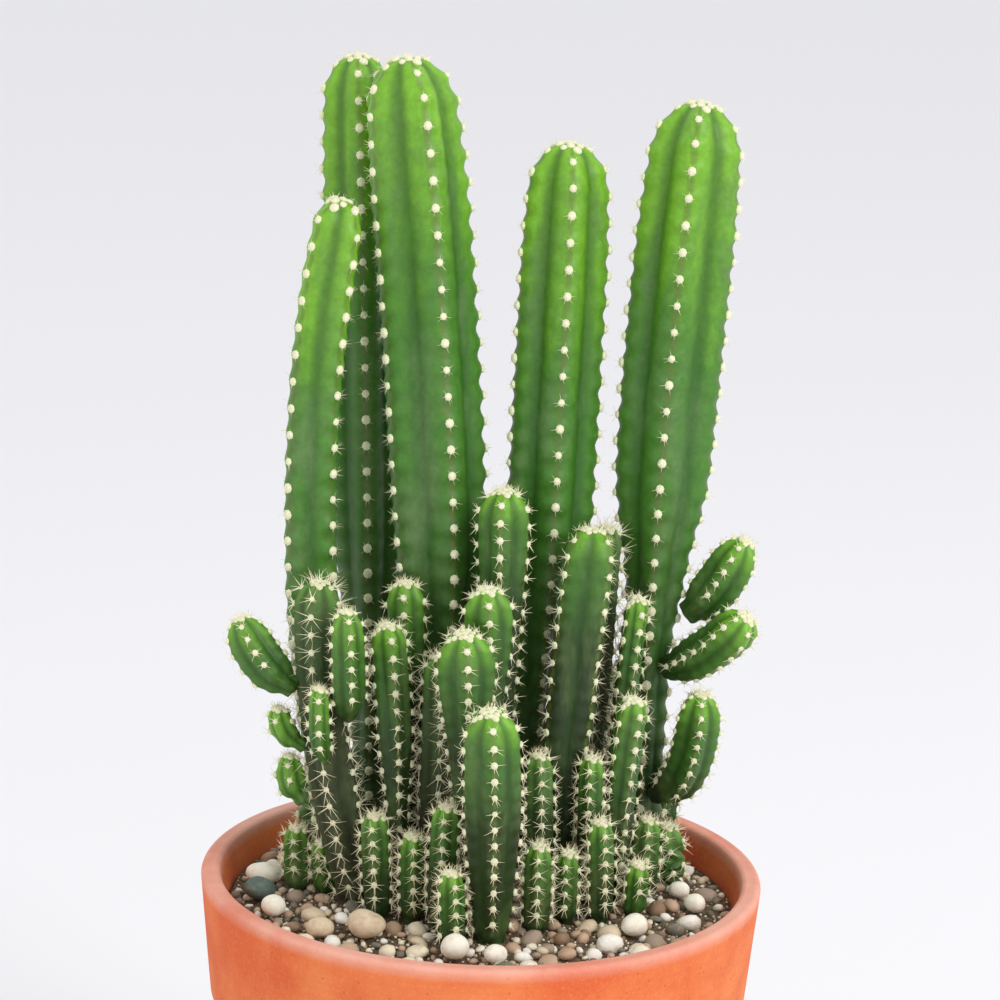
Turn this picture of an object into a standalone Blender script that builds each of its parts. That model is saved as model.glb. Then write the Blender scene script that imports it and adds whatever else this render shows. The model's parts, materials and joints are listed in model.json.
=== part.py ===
"""Potted tall cactus: a clump of ribbed columns and their offsets in a terracotta pot.

All dimensions are in millimetres and become metres as each mesh is built. The origin is on
the pot's axis, on the plane it stands on. +Z is up, and -Y is the side of the front offsets.
"""

import math
from dataclasses import dataclass

import bmesh
import bpy
from mathutils import Matrix, Vector

MM = 0.001
OBJECT_NAME = "potted_tall_cactus"

# Pot: a 14 cm clay pot with a collar, a tapered body and a drain hole.
POT_HEIGHT = 125.0
RIM_RADIUS = 70.0
RIM_WALL = 4.9
RIM_ROUNDING = 1.2
COLLAR_HEIGHT = 33.0
COLLAR_FOOT_RADIUS = 67.2
COLLAR_ROUNDING = 1.8
BODY_TOP_RADIUS = 62.6
BASE_RADIUS = 44.5
BASE_CHAMFER = 1.2
FLOOR_THICKNESS = 7.0
FLOOR_RADIUS = 38.5
FLOOR_FILLET = 2.0
DRAIN_RADIUS = 8.0
TURNED_STEPS = 48
SEAM_MERGE = 0.02
SHARP_ANGLE = 50.0

# Soil: a low mound that stops a finger's breadth under the rim.
SOIL_CENTRE_HEIGHT = 120.0
SOIL_EDGE_HEIGHT = 116.4
SOIL_RINGS = 4
GAP = 0.35
ROOT_DEPTH = 8.0
HOLE_CLEARANCE = 0.65
HOLE_EXTRA_DEPTH = 4.0
HOLE_SIDES = 12

# Stems: rib depth and how the outline swells from the foot to the rounded crown. Ribs start
# a little above the soil, or above the neck of a side shoot, which is a part of its length.
VALLEY_DEPTH = 0.24
DOME_LENGTH = 0.95
DOME_ANGLES = (24.0, 48.0, 72.0)
CROWN_TAPER = 2.6
FOOT_WIDTH = 0.8
FOOT_ABOVE_SOIL = 0.6
RIBS_ABOVE_SOIL = 2.5
NECK_PART = 0.12
FOOT_PART = 0.001

# Pebbles stand this far proud of the soil under them.
PEBBLE_GAP = 0.5
DENT_DEPTH = 0.05
DENT_WAVES = (3.1, 2.3)


@dataclass
class Stem:
    """One column: its centre line runs from foot to crown, bent towards knee.

    slim is the foot's part of the full radius, waist the part of the length over which it fills
    out, and narrowing the part of the radius lost towards the crown.
    """

    name: str
    foot: tuple
    crown: tuple
    radius: float
    facing: float
    knee: tuple = None
    slim: float = 0.5
    waist: tuple = (0.1, 0.45)
    narrowing: float = 0.08
    ribs: int = 5
    skin: str = "young_skin"
    detail: int = 1
    body_rings: int = 4


def rooted(name, x, y, crown, radius, facing, **shape):
    """A stem whose foot is planted in the soil at (x, y)."""
    return Stem(name, (x, y, soil_height(math.hypot(x, y)) - ROOT_DEPTH), crown, radius, facing, **shape)


def soil_height(distance):
    """Height of the soil at a distance from the pot's axis: a shallow paraboloid."""
    edge = inner_radius(SOIL_EDGE_HEIGHT)
    return SOIL_CENTRE_HEIGHT - (SOIL_CENTRE_HEIGHT - SOIL_EDGE_HEIGHT) * (distance / edge) ** 2


def inner_radius(height):
    """Radius of the pot's inside wall, which is a plain cone between its floor and its rim."""
    low = FLOOR_THICKNESS + FLOOR_FILLET
    low_radius = FLOOR_RADIUS + FLOOR_FILLET
    slope = (RIM_RADIUS - RIM_WALL - low_radius) / (POT_HEIGHT - low)
    return low_radius + slope * (height - low)


TALL = dict(narrowing=0.2, skin="mature_skin", detail=2, body_rings=8)


def tall_columns():
    """The five tall columns, which lean apart towards their crowns."""
    return [
        rooted("column_rear_left", -29, 26, (-37.2, 31, 324), 10.2, -88, knee=(-31.5, 29, 225),
               waist=(0.15, 0.5), **TALL),
        rooted("column_centre", -9.3, 11, (-25, 12.5, 326), 13.0, -69, knee=(-12.4, 12.5, 225),
               waist=(0.22, 0.48), slim=0.55, **TALL),
        rooted("column_front_left", -33.5, 7, (-38.8, 3, 292.5), 7.8, -43, knee=(-53.5, 4, 215),
               waist=(0.1, 0.4), slim=0.78, ribs=4, **TALL),
        rooted("column_middle_right", 12.5, 18, (15.5, 20, 305.5), 11.7, -83, knee=(13.5, 19, 215),
               waist=(0.2, 0.48), slim=0.55, **TALL),
        rooted("column_right", 40.5, 23, (47.2, 20, 316.5), 13.1, -95, knee=(39.4, 20.5, 215),
               waist=(0.3, 0.6), slim=0.45, **TALL),
    ]


def middle_stems():
    """Half-grown stems that stand in the soil among and before the columns."""
    return [
        rooted("stem_centre_high", 3.5, -1.5, (2.6, -3.5, 223.5), 7.0, -98, waist=(0.5, 0.85), slim=0.5),
        rooted("stem_centre_mid", 1.5, -10.5, (-0.8, -16, 202), 6.7, -86, waist=(0.55, 0.88), slim=0.42),
        rooted("stem_centre_low", -4, -20, (-5.8, -28, 194), 7.8, -84, waist=(0.5, 0.85), slim=0.42),
        rooted("stem_front", 2.7, -34, (1, -42, 179), 7.4, -84, waist=(0.12, 0.6), slim=0.6),
        rooted("stem_right_tall", 18.5, -3, (24.5, 1.0, 213.5), 7.9, -45, waist=(0.2, 0.6), slim=0.65,
               ribs=4, body_rings=6),
        rooted("stem_right_slender", 32.5, 5, (36.5, 5.5, 195.5), 3.4, -65, waist=(0.35, 0.6), slim=0.75),
        rooted("stem_right_front", 32.5, -6, (36, -8.5, 173.5), 4.3, -62, waist=(0.15, 0.5), slim=0.65),
        rooted("stem_right_rear", 26.5, 13.5, (28.6, 13.5, 211), 4.2, -90, waist=(0.3, 0.7), slim=0.7,
               skin="corky_skin"),
        rooted("stem_old_left", -27, -9, (-41.5, -15, 202), 6.2, -105, knee=(-42, -14, 160),
               waist=(0.02, 0.2), slim=0.86, skin="corky_skin", body_rings=6),
        rooted("stem_left_mid", -20.5, -14.5, (-25, -15, 192), 4.9, -75, waist=(0.4, 0.75), slim=0.6),
        rooted("stem_left_rear", -18.5, -3, (-21, -2.5, 199.5), 5.2, -95, waist=(0.45, 0.8), slim=0.6),
        rooted("stem_old_middle", -12, -9.5, (-12, -10.5, 183), 4.6, -80, waist=(0.1, 0.5), slim=0.7,
               skin="corky_skin"),
    ]


ARM = dict(slim=0.74, waist=(0.02, 0.4))


def side_shoots():
    """Offsets that grow from the side of an older stem, on a narrow neck."""
    return [
        Stem("arm_right_upper", (51.1, 17.7, 189.5), (63, 14.5, 208.5), 6.5, 178, knee=(57, 16.5, 193.5),
             **ARM),
        Stem("arm_right_lower", (46.4, 16.3, 174.5), (63.5, 3, 192), 6.2, 150, knee=(56.5, 8, 180), **ARM),
        Stem("arm_right_base", (44.8, 16.0, 141.5), (53.2, 4.0, 171.5), 6.1, -160, knee=(53, 8.5, 147),
             **ARM),
        Stem("arm_left", (-48.9, -14.5, 176.3), (-61, -12.5, 191.5), 6.0, 60, knee=(-55.5, -13.5, 180),
             **ARM),
        Stem("shoot_left_front", (-33.6, -19.4, 171), (-34.5, -25.5, 198), 4.5, -75, knee=(-33.2, -26, 178),
             **ARM),
        Stem("shoot_left_small", (-39.2, -20.6, 160), (-40.4, -24.8, 178.5), 2.9, -90,
             knee=(-40.4, -26, 165), **ARM),
        Stem("bud_left_upper", (-46.2, -14.6, 161.3), (-51.0, -14.3, 170), 3.5, 40,
             knee=(-50.2, -14.4, 163.5), **ARM),
        Stem("bud_left_lower", (-45.5, -11.8, 147), (-48.2, -10, 156.5), 4.2, 50, knee=(-47.6, -10.8, 149),
             **ARM),
    ]


def young_offsets():
    """Short spiny offsets around the clump's foot."""
    low = dict(slim=0.72, waist=(0.15, 0.45))
    return [
        rooted("offset_right_round", 46, 11.5, (46.5, 10.5, 134.5), 5.0, -90, **low),
        rooted("offset_front_right", 14.2, -17, (13, -17.5, 161), 3.8, -80, **low),
        rooted("offset_right_spiny", 26.6, -11.2, (26.2, -11.4, 159), 3.5, -100, **low),
        rooted("offset_front_left", -9.5, -28, (-9, -29, 151), 3.8, -95, **low),
        rooted("offset_front_small", -6.5, -38.5, (-7.5, -39.5, 138), 3.6, -70, **low),
        rooted("offset_left_front", -24.8, -21.5, (-26.5, -22.5, 146), 3.9, -100, **low),
        rooted("offset_left_spiny", -16.8, -23, (-17.2, -25, 142), 3.4, -80, **low),
        rooted("offset_front_bud", 13.8, -28, (13.6, -29.5, 142), 3.8, -90, **low),
        rooted("offset_front_chick", 21.2, -20.5, (21, -22, 138), 3.2, -100, **low),
        rooted("offset_right_bud", 29.5, -17.5, (28.5, -19, 145), 3.7, -70, **low),
        rooted("offset_right_low", 40.5, 0.5, (41.0, -1.0, 140), 3.9, -85, **low),
        rooted("offset_right_outer", 38.0, -12.5, (38.5, -14.5, 133), 3.3, -75, **low),
        rooted("offset_left_low", -45.8, -1.2, (-46.6, -1.6, 135), 3.6, -100, **low),
        rooted("offset_left_foot", -38.5, -4.5, (-40, -4.8, 132.5), 3.3, -110, **low),
        rooted("offset_left_outer", -41, 19, (-42, 20, 143), 4.1, 170, **low),
        rooted("offset_rear_left", -26, 40, (-29, 43, 172), 5.4, 95, **low),
        rooted("offset_rear_low", -12, 33, (-13, 37, 155), 4.7, 80, **low),
        rooted("offset_rear_middle", 3, 33, (2, 38, 184), 5.6, 90, waist=(0.2, 0.6), slim=0.65),
        rooted("offset_rear_bud", 15, 40, (16, 43, 147), 4.3, 100, **low),
        rooted("offset_rear_right", 29, 33, (31, 37, 168), 5.1, 85, **low),
        rooted("offset_rear_corner", 45, 31, (48, 33, 145), 4.2, 60, **low),
    ]


# Larger pebbles: name, place on the soil, half sizes, turn about Z in degrees, colour slot.
PEBBLES = [
    ("pebble_left_white", (-54.3, 3.2), (5.6, 4.0, 3.0), 10, "pale_pebble"),
    ("pebble_left_slate", (-55.0, -8.2), (4.9, 4.0, 3.1), -20, "slate_pebble"),
    ("pebble_left_cream", (-50.8, -20.3), (3.5, 3.2, 3.0), 35, "pale_pebble"),
    ("pebble_rear_left_long", (-46.5, 30.0), (4.8, 2.8, 2.2), 52, "pale_pebble"),
    ("pebble_left_pink", (-49.0, 14.5), (3.9, 3.0, 2.5), -30, "tan_pebble"),
    ("pebble_front_left_tan", (-38.6, -34.5), (4.1, 3.1, 2.8), 25, "tan_pebble"),
    ("pebble_front_left_big", (-27.4, -35.0), (5.7, 4.4, 3.7), -15, "tan_pebble"),
    ("pebble_front_white", (-5.8, -47.2), (3.9, 3.6, 3.5), 0, "pale_pebble"),
    ("pebble_front_cream", (4.0, -48.5), (3.1, 2.7, 2.6), 20, "pale_pebble"),
    ("pebble_front_right_cream", (37.6, -27.6), (3.7, 3.3, 3.1), 15, "pale_pebble"),
    ("pebble_right_white", (49.8, 1.4), (3.1, 2.6, 2.5), -10, "pale_pebble"),
    ("pebble_right_edge", (53.5, -7.5), (3.2, 2.8, 2.6), -35, "pale_pebble"),
]

# Finishes: base colour in linear light, roughness, metallic.
FINISHES = {
    "terracotta": ((0.78, 0.25, 0.10), 0.85, 0.0),
    "potting_soil": ((0.06, 0.04, 0.028), 0.95, 0.0),
    "mature_skin": ((0.08, 0.21, 0.03), 0.45, 0.0),
    "young_skin": ((0.11, 0.30, 0.035), 0.45, 0.0),
    "corky_skin": ((0.10, 0.13, 0.05), 0.7, 0.0),
    "pale_pebble": ((0.80, 0.74, 0.60), 0.7, 0.0),
    "tan_pebble": ((0.55, 0.42, 0.30), 0.75, 0.0),
    "slate_pebble": ((0.12, 0.16, 0.13), 0.65, 0.0),
}


def clear_scene():
    for item in list(bpy.data.objects):
        bpy.data.objects.remove(item, do_unlink=True)


def make_finish(name):
    """A Principled material for one slot."""
    color, roughness, metallic = FINISHES[name]
    material = bpy.data.materials.new(name)
    material.use_nodes = True
    shader = material.node_tree.nodes["Principled BSDF"]
    shader.inputs["Base Color"].default_value = (*color, 1.0)
    shader.inputs["Roughness"].default_value = roughness
    shader.inputs["Metallic"].default_value = metallic
    material.diffuse_color = (*color, 1.0)
    return material


def add_object(name, mesh, collection, material=None, parent=None, place=(0.0, 0.0, 0.0)):
    item = bpy.data.objects.new(name, mesh)
    collection.objects.link(item)
    item.location = Vector(place) * MM
    item.parent = parent
    if material:
        mesh.materials.append(material)
        mesh.shade_smooth()
        mesh.set_sharp_from_angle(angle=math.radians(SHARP_ANGLE))
    return item


def arc(centre, radius, start, end, steps):
    """Points on an arc in the (radius, height) plane, angles in degrees from +X."""
    points = []
    for step in range(steps + 1):
        angle = math.radians(start + (end - start) * step / steps)
        points.append((centre[0] + radius * math.cos(angle), centre[1] + radius * math.sin(angle)))
    return points


def turned_mesh(name, outline, closed):
    """Edges of a half section at +X, ready for a Screw modifier."""
    mesh = bpy.data.meshes.new(name)
    count = len(outline)
    edges = [(index, index + 1) for index in range(count - 1)]
    if closed:
        edges.append((count - 1, 0))
    mesh.from_pydata([(r * MM, 0.0, z * MM) for r, z in outline], edges, [])
    return mesh


def add_screw(item):
    screw = item.modifiers.new("Turn", "SCREW")
    screw.axis = "Z"
    screw.angle = math.tau
    screw.steps = TURNED_STEPS
    screw.render_steps = TURNED_STEPS
    screw.use_merge_vertices = True
    screw.merge_threshold = SEAM_MERGE * MM
    screw.use_smooth_shade = True


def pot_outline():
    """The pot's wall in section: rim, collar, body, base, drain hole, floor, inside wall."""
    rim_inner = RIM_RADIUS - RIM_WALL
    rounding_height = POT_HEIGHT - RIM_ROUNDING
    collar_foot = POT_HEIGHT - COLLAR_HEIGHT
    outline = arc((rim_inner + RIM_ROUNDING, rounding_height), RIM_ROUNDING, 180, 90, 2)
    outline += arc((RIM_RADIUS - RIM_ROUNDING, rounding_height), RIM_ROUNDING, 90, 0, 2)
    outline += arc((COLLAR_FOOT_RADIUS - COLLAR_ROUNDING, collar_foot + COLLAR_ROUNDING),
                   COLLAR_ROUNDING, 0, -90, 3)
    outline += [
        (BODY_TOP_RADIUS, collar_foot),
        (BASE_RADIUS, BASE_CHAMFER),
        (BASE_RADIUS - BASE_CHAMFER, 0.0),
        (DRAIN_RADIUS, 0.0),
        (DRAIN_RADIUS, FLOOR_THICKNESS),
        (FLOOR_RADIUS, FLOOR_THICKNESS),
        (FLOOR_RADIUS + FLOOR_FILLET, FLOOR_THICKNESS + FLOOR_FILLET),
    ]
    return outline


def soil_outline():
    """The soil in section: the mound, down the pot's wall, and across its floor."""
    edge_radius = inner_radius(SOIL_EDGE_HEIGHT) - GAP
    outline = []
    for ring in range(SOIL_RINGS + 1):
        distance = edge_radius * ring / SOIL_RINGS
        outline.append((distance, soil_height(distance)))
    floor = FLOOR_THICKNESS + GAP
    outline += [
        (FLOOR_RADIUS + FLOOR_FILLET - GAP, FLOOR_THICKNESS + FLOOR_FILLET + GAP),
        (FLOOR_RADIUS - GAP, floor),
        (0.0, floor),
    ]
    return outline


def centre_line(stem):
    """A quadratic curve from the foot, through the pull of the knee, to the crown."""
    foot, crown = Vector(stem.foot), Vector(stem.crown)
    if stem.knee:
        knee = Vector(stem.knee)
    else:
        knee = Vector((foot.x, foot.y, (foot.z + crown.z) / 2))

    def point(t):
        return foot * (1 - t) ** 2 + knee * (2 * t * (1 - t)) + crown * t ** 2

    def direction(t):
        return ((knee - foot) * (1 - t) + (crown - knee) * t).normalized()

    return point, direction


def swell(stem, t):
    """Radius of the crests at t: slim at the foot, full above the waist, drawn in at the crown."""
    low, high = stem.waist
    s = min(max((t - low) / (high - low), 0.0), 1.0)
    length = (Vector(stem.crown) - Vector(stem.foot)).length
    near_crown = max(1 - (1 - t) * length / (CROWN_TAPER * stem.radius), 0.0)
    full = stem.radius * (1 - stem.narrowing * near_crown ** 2)
    return full * (stem.slim + (1 - stem.slim) * s * s * (3 - 2 * s))


def stations(stem, planted):
    """(t, radius, rib depth) of each ring from the crown down to the foot."""
    length = (Vector(stem.crown) - Vector(stem.foot)).length
    dome = DOME_LENGTH * stem.radius / length
    rings = []
    for angle in DOME_ANGLES:
        turn = math.radians(angle)
        t = 1 - dome * (1 - math.cos(turn))
        rings.append((t, swell(stem, t) * math.sin(turn), VALLEY_DEPTH))
    lowest = (ROOT_DEPTH + RIBS_ABOVE_SOIL) / length if planted else NECK_PART
    for ring in range(stem.body_rings):
        t = (1 - dome) + (lowest - (1 - dome)) * ring / (stem.body_rings - 1)
        rings.append((t, swell(stem, t), VALLEY_DEPTH))
    foot_radius = stem.radius * stem.slim * FOOT_WIDTH
    if planted:
        rings.append(((ROOT_DEPTH + FOOT_ABOVE_SOIL) / length, foot_radius, 0.0))
    rings.append((FOOT_PART, foot_radius, 0.0))
    return rings


def stem_mesh(stem, planted):
    """A sphere's rings moved along the centre line and pulled into ribs.

    A meridian of the sphere always passes through its Y axis, so the ribs are counted from there.
    """
    rings = stations(stem, planted)
    across = stem.ribs * 2 * stem.detail
    point, direction = centre_line(stem)
    mesh_data = bmesh.new()
    bmesh.ops.create_uvsphere(mesh_data, u_segments=across, v_segments=len(rings) + 1, radius=1.0)
    facing = Vector((math.cos(math.radians(stem.facing)), math.sin(math.radians(stem.facing)), 0.0))
    foot = Vector(stem.foot)
    for vert in mesh_data.verts:
        level = round(math.acos(max(-1.0, min(1.0, vert.co.z))) / math.pi * (len(rings) + 1))
        if level == 0:
            vert.co = (point(1.0) - foot) * MM
            continue
        if level == len(rings) + 1:
            vert.co = Vector((0.0, 0.0, 0.0))
            continue
        t, radius, depth = rings[level - 1]
        turn = math.atan2(vert.co.y, vert.co.x) - math.pi / 2
        rib = 0.5 + 0.5 * math.cos(turn * stem.ribs)
        reach = radius * (1 - depth * (1 - rib))
        around = Matrix.Rotation(turn, 3, "Z") @ facing
        tilt = Vector((0.0, 0.0, 1.0)).rotation_difference(direction(t))
        vert.co = (point(t) - foot + tilt @ around * reach) * MM
    mesh = bpy.data.meshes.new(stem.name)
    bmesh.ops.recalc_face_normals(mesh_data, faces=mesh_data.faces[:])
    mesh_data.to_mesh(mesh)
    mesh_data.free()
    return mesh


def hole_mesh(stem):
    """A cutter for the socket that a planted foot stands in."""
    point, direction = centre_line(stem)
    radius = stem.radius * stem.slim * FOOT_WIDTH + HOLE_CLEARANCE
    depth = ROOT_DEPTH + HOLE_EXTRA_DEPTH
    mesh_data = bmesh.new()
    bmesh.ops.create_cone(mesh_data, cap_ends=True, segments=HOLE_SIDES, radius1=radius * MM,
                          radius2=radius * MM, depth=depth * MM)
    tilt = Vector((0.0, 0.0, 1.0)).rotation_difference(direction(0.0)).to_matrix().to_4x4()
    lift = Matrix.Translation((0.0, 0.0, (depth / 2 - GAP) * MM))
    mesh_data.transform(tilt @ lift)
    mesh = bpy.data.meshes.new("socket_" + stem.name)
    mesh_data.to_mesh(mesh)
    mesh_data.free()
    return mesh


def pebble_mesh(name, half_sizes, turn):
    """A rounded stone: a flattened sphere with shallow dents that differ from stone to stone."""
    mesh_data = bmesh.new()
    bmesh.ops.create_icosphere(mesh_data, subdivisions=2, radius=1.0)
    for vert in mesh_data.verts:
        wave = math.sin(DENT_WAVES[0] * vert.co.x + DENT_WAVES[1] * vert.co.y + half_sizes[0])
        vert.co = Vector(half_sizes) * vert.co * (1 - DENT_DEPTH * (1 + wave)) * MM
    mesh_data.transform(Matrix.Rotation(math.radians(turn), 4, "Z"))
    mesh = bpy.data.meshes.new(name)
    mesh_data.to_mesh(mesh)
    mesh_data.free()
    return mesh


def add_stem(stem, planted, parts, cutters, frame, finishes):
    add_object(stem.name, stem_mesh(stem, planted), parts, finishes[stem.skin], frame, stem.foot)
    if planted:
        socket = add_object("socket_" + stem.name, hole_mesh(stem), cutters, place=stem.foot)
        socket.hide_render = True
        socket.display_type = "WIRE"


def build():
    clear_scene()
    parts = bpy.data.collections.new(OBJECT_NAME)
    cutters = bpy.data.collections.new("cutters")
    bpy.context.scene.collection.children.link(parts)
    bpy.context.scene.collection.children.link(cutters)
    frame = bpy.data.objects.new("plant_frame", None)
    parts.objects.link(frame)
    finishes = {name: make_finish(name) for name in FINISHES}

    pot = add_object("pot", turned_mesh("pot", pot_outline(), True), parts,
                     finishes["terracotta"], frame)
    add_screw(pot)

    for stem in tall_columns() + middle_stems() + young_offsets():
        add_stem(stem, True, parts, cutters, frame, finishes)
    for stem in side_shoots():
        add_stem(stem, False, parts, cutters, frame, finishes)

    soil = add_object("soil", turned_mesh("soil", soil_outline(), False), parts,
                      finishes["potting_soil"], frame)
    add_screw(soil)
    sockets = soil.modifiers.new("Sockets", "BOOLEAN")
    sockets.operation = "DIFFERENCE"
    sockets.solver = "EXACT"
    sockets.operand_type = "COLLECTION"
    sockets.collection = cutters

    for name, (x, y), half_sizes, turn, slot in PEBBLES:
        height = soil_height(math.hypot(x, y)) + half_sizes[2] + PEBBLE_GAP
        add_object(name, pebble_mesh(name, half_sizes, turn), parts, finishes[slot], frame, (x, y, height))


build()
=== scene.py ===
# %% [markdown]
# # A potted tall cactus
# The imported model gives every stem, stone, the soil and the pot as plain solids in metres. This
# script dresses them: it reads each stem's centre line from its solid, grows a ribbed skin round
# it, sets wool and spines along the ribs, turns a finer pot, and strews gravel over the soil.

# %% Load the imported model
import json
import math

import bmesh
import bpy
import numpy as np
from mathutils import Matrix, Vector, noise


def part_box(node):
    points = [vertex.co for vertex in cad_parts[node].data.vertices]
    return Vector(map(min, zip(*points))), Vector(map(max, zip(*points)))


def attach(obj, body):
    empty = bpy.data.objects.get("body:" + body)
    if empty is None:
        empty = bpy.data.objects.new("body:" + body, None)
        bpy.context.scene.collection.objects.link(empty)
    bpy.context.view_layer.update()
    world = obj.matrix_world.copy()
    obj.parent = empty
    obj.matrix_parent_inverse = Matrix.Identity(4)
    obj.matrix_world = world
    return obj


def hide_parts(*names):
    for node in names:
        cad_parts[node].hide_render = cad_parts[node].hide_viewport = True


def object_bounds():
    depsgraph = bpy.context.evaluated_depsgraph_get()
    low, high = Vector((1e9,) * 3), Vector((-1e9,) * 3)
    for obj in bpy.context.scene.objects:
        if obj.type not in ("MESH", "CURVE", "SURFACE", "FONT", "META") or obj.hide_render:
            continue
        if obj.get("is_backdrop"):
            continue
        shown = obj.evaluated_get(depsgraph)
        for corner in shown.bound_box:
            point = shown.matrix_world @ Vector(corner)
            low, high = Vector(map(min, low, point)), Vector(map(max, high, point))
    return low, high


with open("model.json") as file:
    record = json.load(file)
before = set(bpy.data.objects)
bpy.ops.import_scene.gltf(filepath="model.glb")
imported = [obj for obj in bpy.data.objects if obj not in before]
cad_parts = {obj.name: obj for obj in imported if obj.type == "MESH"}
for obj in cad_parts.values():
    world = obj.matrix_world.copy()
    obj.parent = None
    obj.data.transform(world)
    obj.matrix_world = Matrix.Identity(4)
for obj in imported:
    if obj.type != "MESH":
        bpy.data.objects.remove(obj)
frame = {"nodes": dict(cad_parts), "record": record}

MM = 0.001
CAD_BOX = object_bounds()
slots = {part["node"]: part["material_slot"] for part in frame["record"]["subparts"]}
print(f"{len(slots)} nodes, {round((CAD_BOX[1].z - CAD_BOX[0].z) / MM)} mm tall")

# %% [markdown]
# ## Helpers
# Colours are chosen as sRGB hex values, the way a painter's tool shows them, and Blender's
# shaders want linear light, so one function turns them. Another fills the sockets of a node: a
# node or a socket given as a value is linked, a hex code is turned, and anything else is typed
# into the field. The last adds a node to any tree, shader or geometry, and fills it.

# %% Colour and node helpers
def linear(code):
    """An sRGB hex colour as linear red, green, blue and alpha."""
    shares = [int(code[i:i + 2], 16) / 255 for i in (1, 3, 5)]
    return (*[s / 12.92 if s <= 0.04045 else ((s + 0.055) / 1.055) ** 2.4 for s in shares], 1.0)


def first_enabled(sockets, name=None):
    return next(s for s in sockets if s.enabled and name in (None, s.name))


def fill(tree, node, inputs):
    """Fills sockets, which are given by name, or by number where several share a name."""
    for key, value in inputs.items():
        socket = node.inputs[key] if isinstance(key, int) else first_enabled(node.inputs, key)
        if isinstance(value, bpy.types.Node):
            value = first_enabled(value.outputs)
        if isinstance(value, bpy.types.NodeSocket):
            tree.links.new(value, socket)
        elif isinstance(value, str) and value.startswith("#"):
            socket.default_value = linear(value)
        else:
            socket.default_value = value


def put(tree, kind, inputs=None, **settings):
    """Adds one node, makes its settings and fills its sockets."""
    node = tree.nodes.new(kind)
    for name, value in settings.items():
        setattr(node, name, value)
    fill(tree, node, inputs or {})
    return node


# %% [markdown]
# ## The stage
# The plant stands on pale paper in flat daylight. The floor of that paper is so wide that it fills
# the view, because the camera looks down on the pot from a low step. One big soft lamp high on
# the right models the ribs, a weak one on the left opens the shadows, and the pale sky does the
# rest, so that nothing casts a hard shadow.

# %% Floor, sky, lamps and camera
PAPER = "#f1f1f3"
SKY = "#f2f2f4"
FLOOR_SIZE = 30.0
AIM_ABOVE_RIM = 0.06

_, pot_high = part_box("pot")
rim_centre = Vector((0.0, 0.0, pot_high.z))

floor_mesh = bpy.data.meshes.new("floor")
floor_edge = FLOOR_SIZE / 2
floor_corners = [(-floor_edge, -floor_edge, 0), (floor_edge, -floor_edge, 0),
                 (floor_edge, floor_edge, 0), (-floor_edge, floor_edge, 0)]
floor_mesh.from_pydata(floor_corners, [], [(0, 1, 2, 3)])
floor = bpy.data.objects.new("floor", floor_mesh)
bpy.context.scene.collection.objects.link(floor)
floor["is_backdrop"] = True

# Uncoated paper: pulp fibres scatter all light, so it has next to no sheen.
paper = bpy.data.materials.new("matt paper")
paper.use_nodes = True
fill(paper.node_tree, paper.node_tree.nodes["Principled BSDF"],
     {"Base Color": PAPER, "Roughness": 0.95, "Specular IOR Level": 0.1})
floor_mesh.materials.append(paper)

sky = bpy.data.worlds.new("pale sky")
sky.use_nodes = True
fill(sky.node_tree, sky.node_tree.nodes["Background"], {"Color": SKY})
bpy.context.scene.world = sky


def add_lamp(name, place, width, watts):
    """A square soft lamp that faces the middle of the plant."""
    data = bpy.data.lights.new(name, "AREA")
    data.shape = "SQUARE"
    data.size = width
    data.energy = watts
    lamp = bpy.data.objects.new(name, data)
    lamp.location = place
    target = rim_centre + Vector((0.0, 0.0, AIM_ABOVE_RIM))
    lamp.rotation_mode = "QUATERNION"
    lamp.rotation_quaternion = (target - Vector(place)).to_track_quat("-Z", "Y")
    bpy.context.scene.collection.objects.link(lamp)


add_lamp("key lamp", place=(1.05, -0.9, 1.2), width=0.6, watts=12.0)
add_lamp("fill lamp", place=(-0.9, -1.0, 0.7), width=0.9, watts=1.5)

CAMERA_DISTANCE = 0.9
CAMERA_ELEVATION = math.radians(19.7)
CAMERA_PITCH = math.radians(13.8)
CAMERA_YAW = math.radians(-0.1)
CAMERA_ROLL = math.radians(1.98)
LENS = 128.5
SENSOR_WIDTH = 36.0

camera_data = bpy.data.cameras.new("camera")
camera_data.lens = LENS
camera_data.sensor_width = SENSOR_WIDTH
camera = bpy.data.objects.new("camera", camera_data)
camera.location = rim_centre + CAMERA_DISTANCE * Vector(
    (0.0, -math.cos(CAMERA_ELEVATION), math.sin(CAMERA_ELEVATION)))
turn_right = Matrix.Rotation(CAMERA_YAW, 3, "Z")
look_level = Matrix.Rotation(math.radians(90) - CAMERA_PITCH, 3, "X")
camera.rotation_euler = (turn_right @ look_level @ Matrix.Rotation(CAMERA_ROLL, 3, "Z")).to_euler()
bpy.context.scene.collection.objects.link(camera)
bpy.context.scene.camera = camera
bpy.context.scene.view_settings.view_transform = "Standard"
print("camera stands", round(camera.location.length, 3), "m from the foot of the pot")

# %% [markdown]
# ## Reading a stem
# A stem's solid is a stack of rings between two poles. Stepping from the crown's pole along the
# edges gives the rings one by one, and each ring gives a point of the centre line, the reach of
# its crests and the way one crest points. That is all a skin needs, so the fine stem follows the
# solid exactly and no place is typed in twice. A ring has four points to a rib, but the rings of
# the small young stems have only two, and so ten points at most.

# %% Rings of a stem
CAD_MERGE = 0.01 * MM
CREST_SHARE = 0.97
SMALL_RING = 10

side_shoots = {name for name in slots if name.startswith(("arm_", "shoot_", "bud_"))}
stem_names = [name for name in slots if name.startswith(("column_", "stem_", "offset_"))]
stem_names += sorted(side_shoots)


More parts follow.
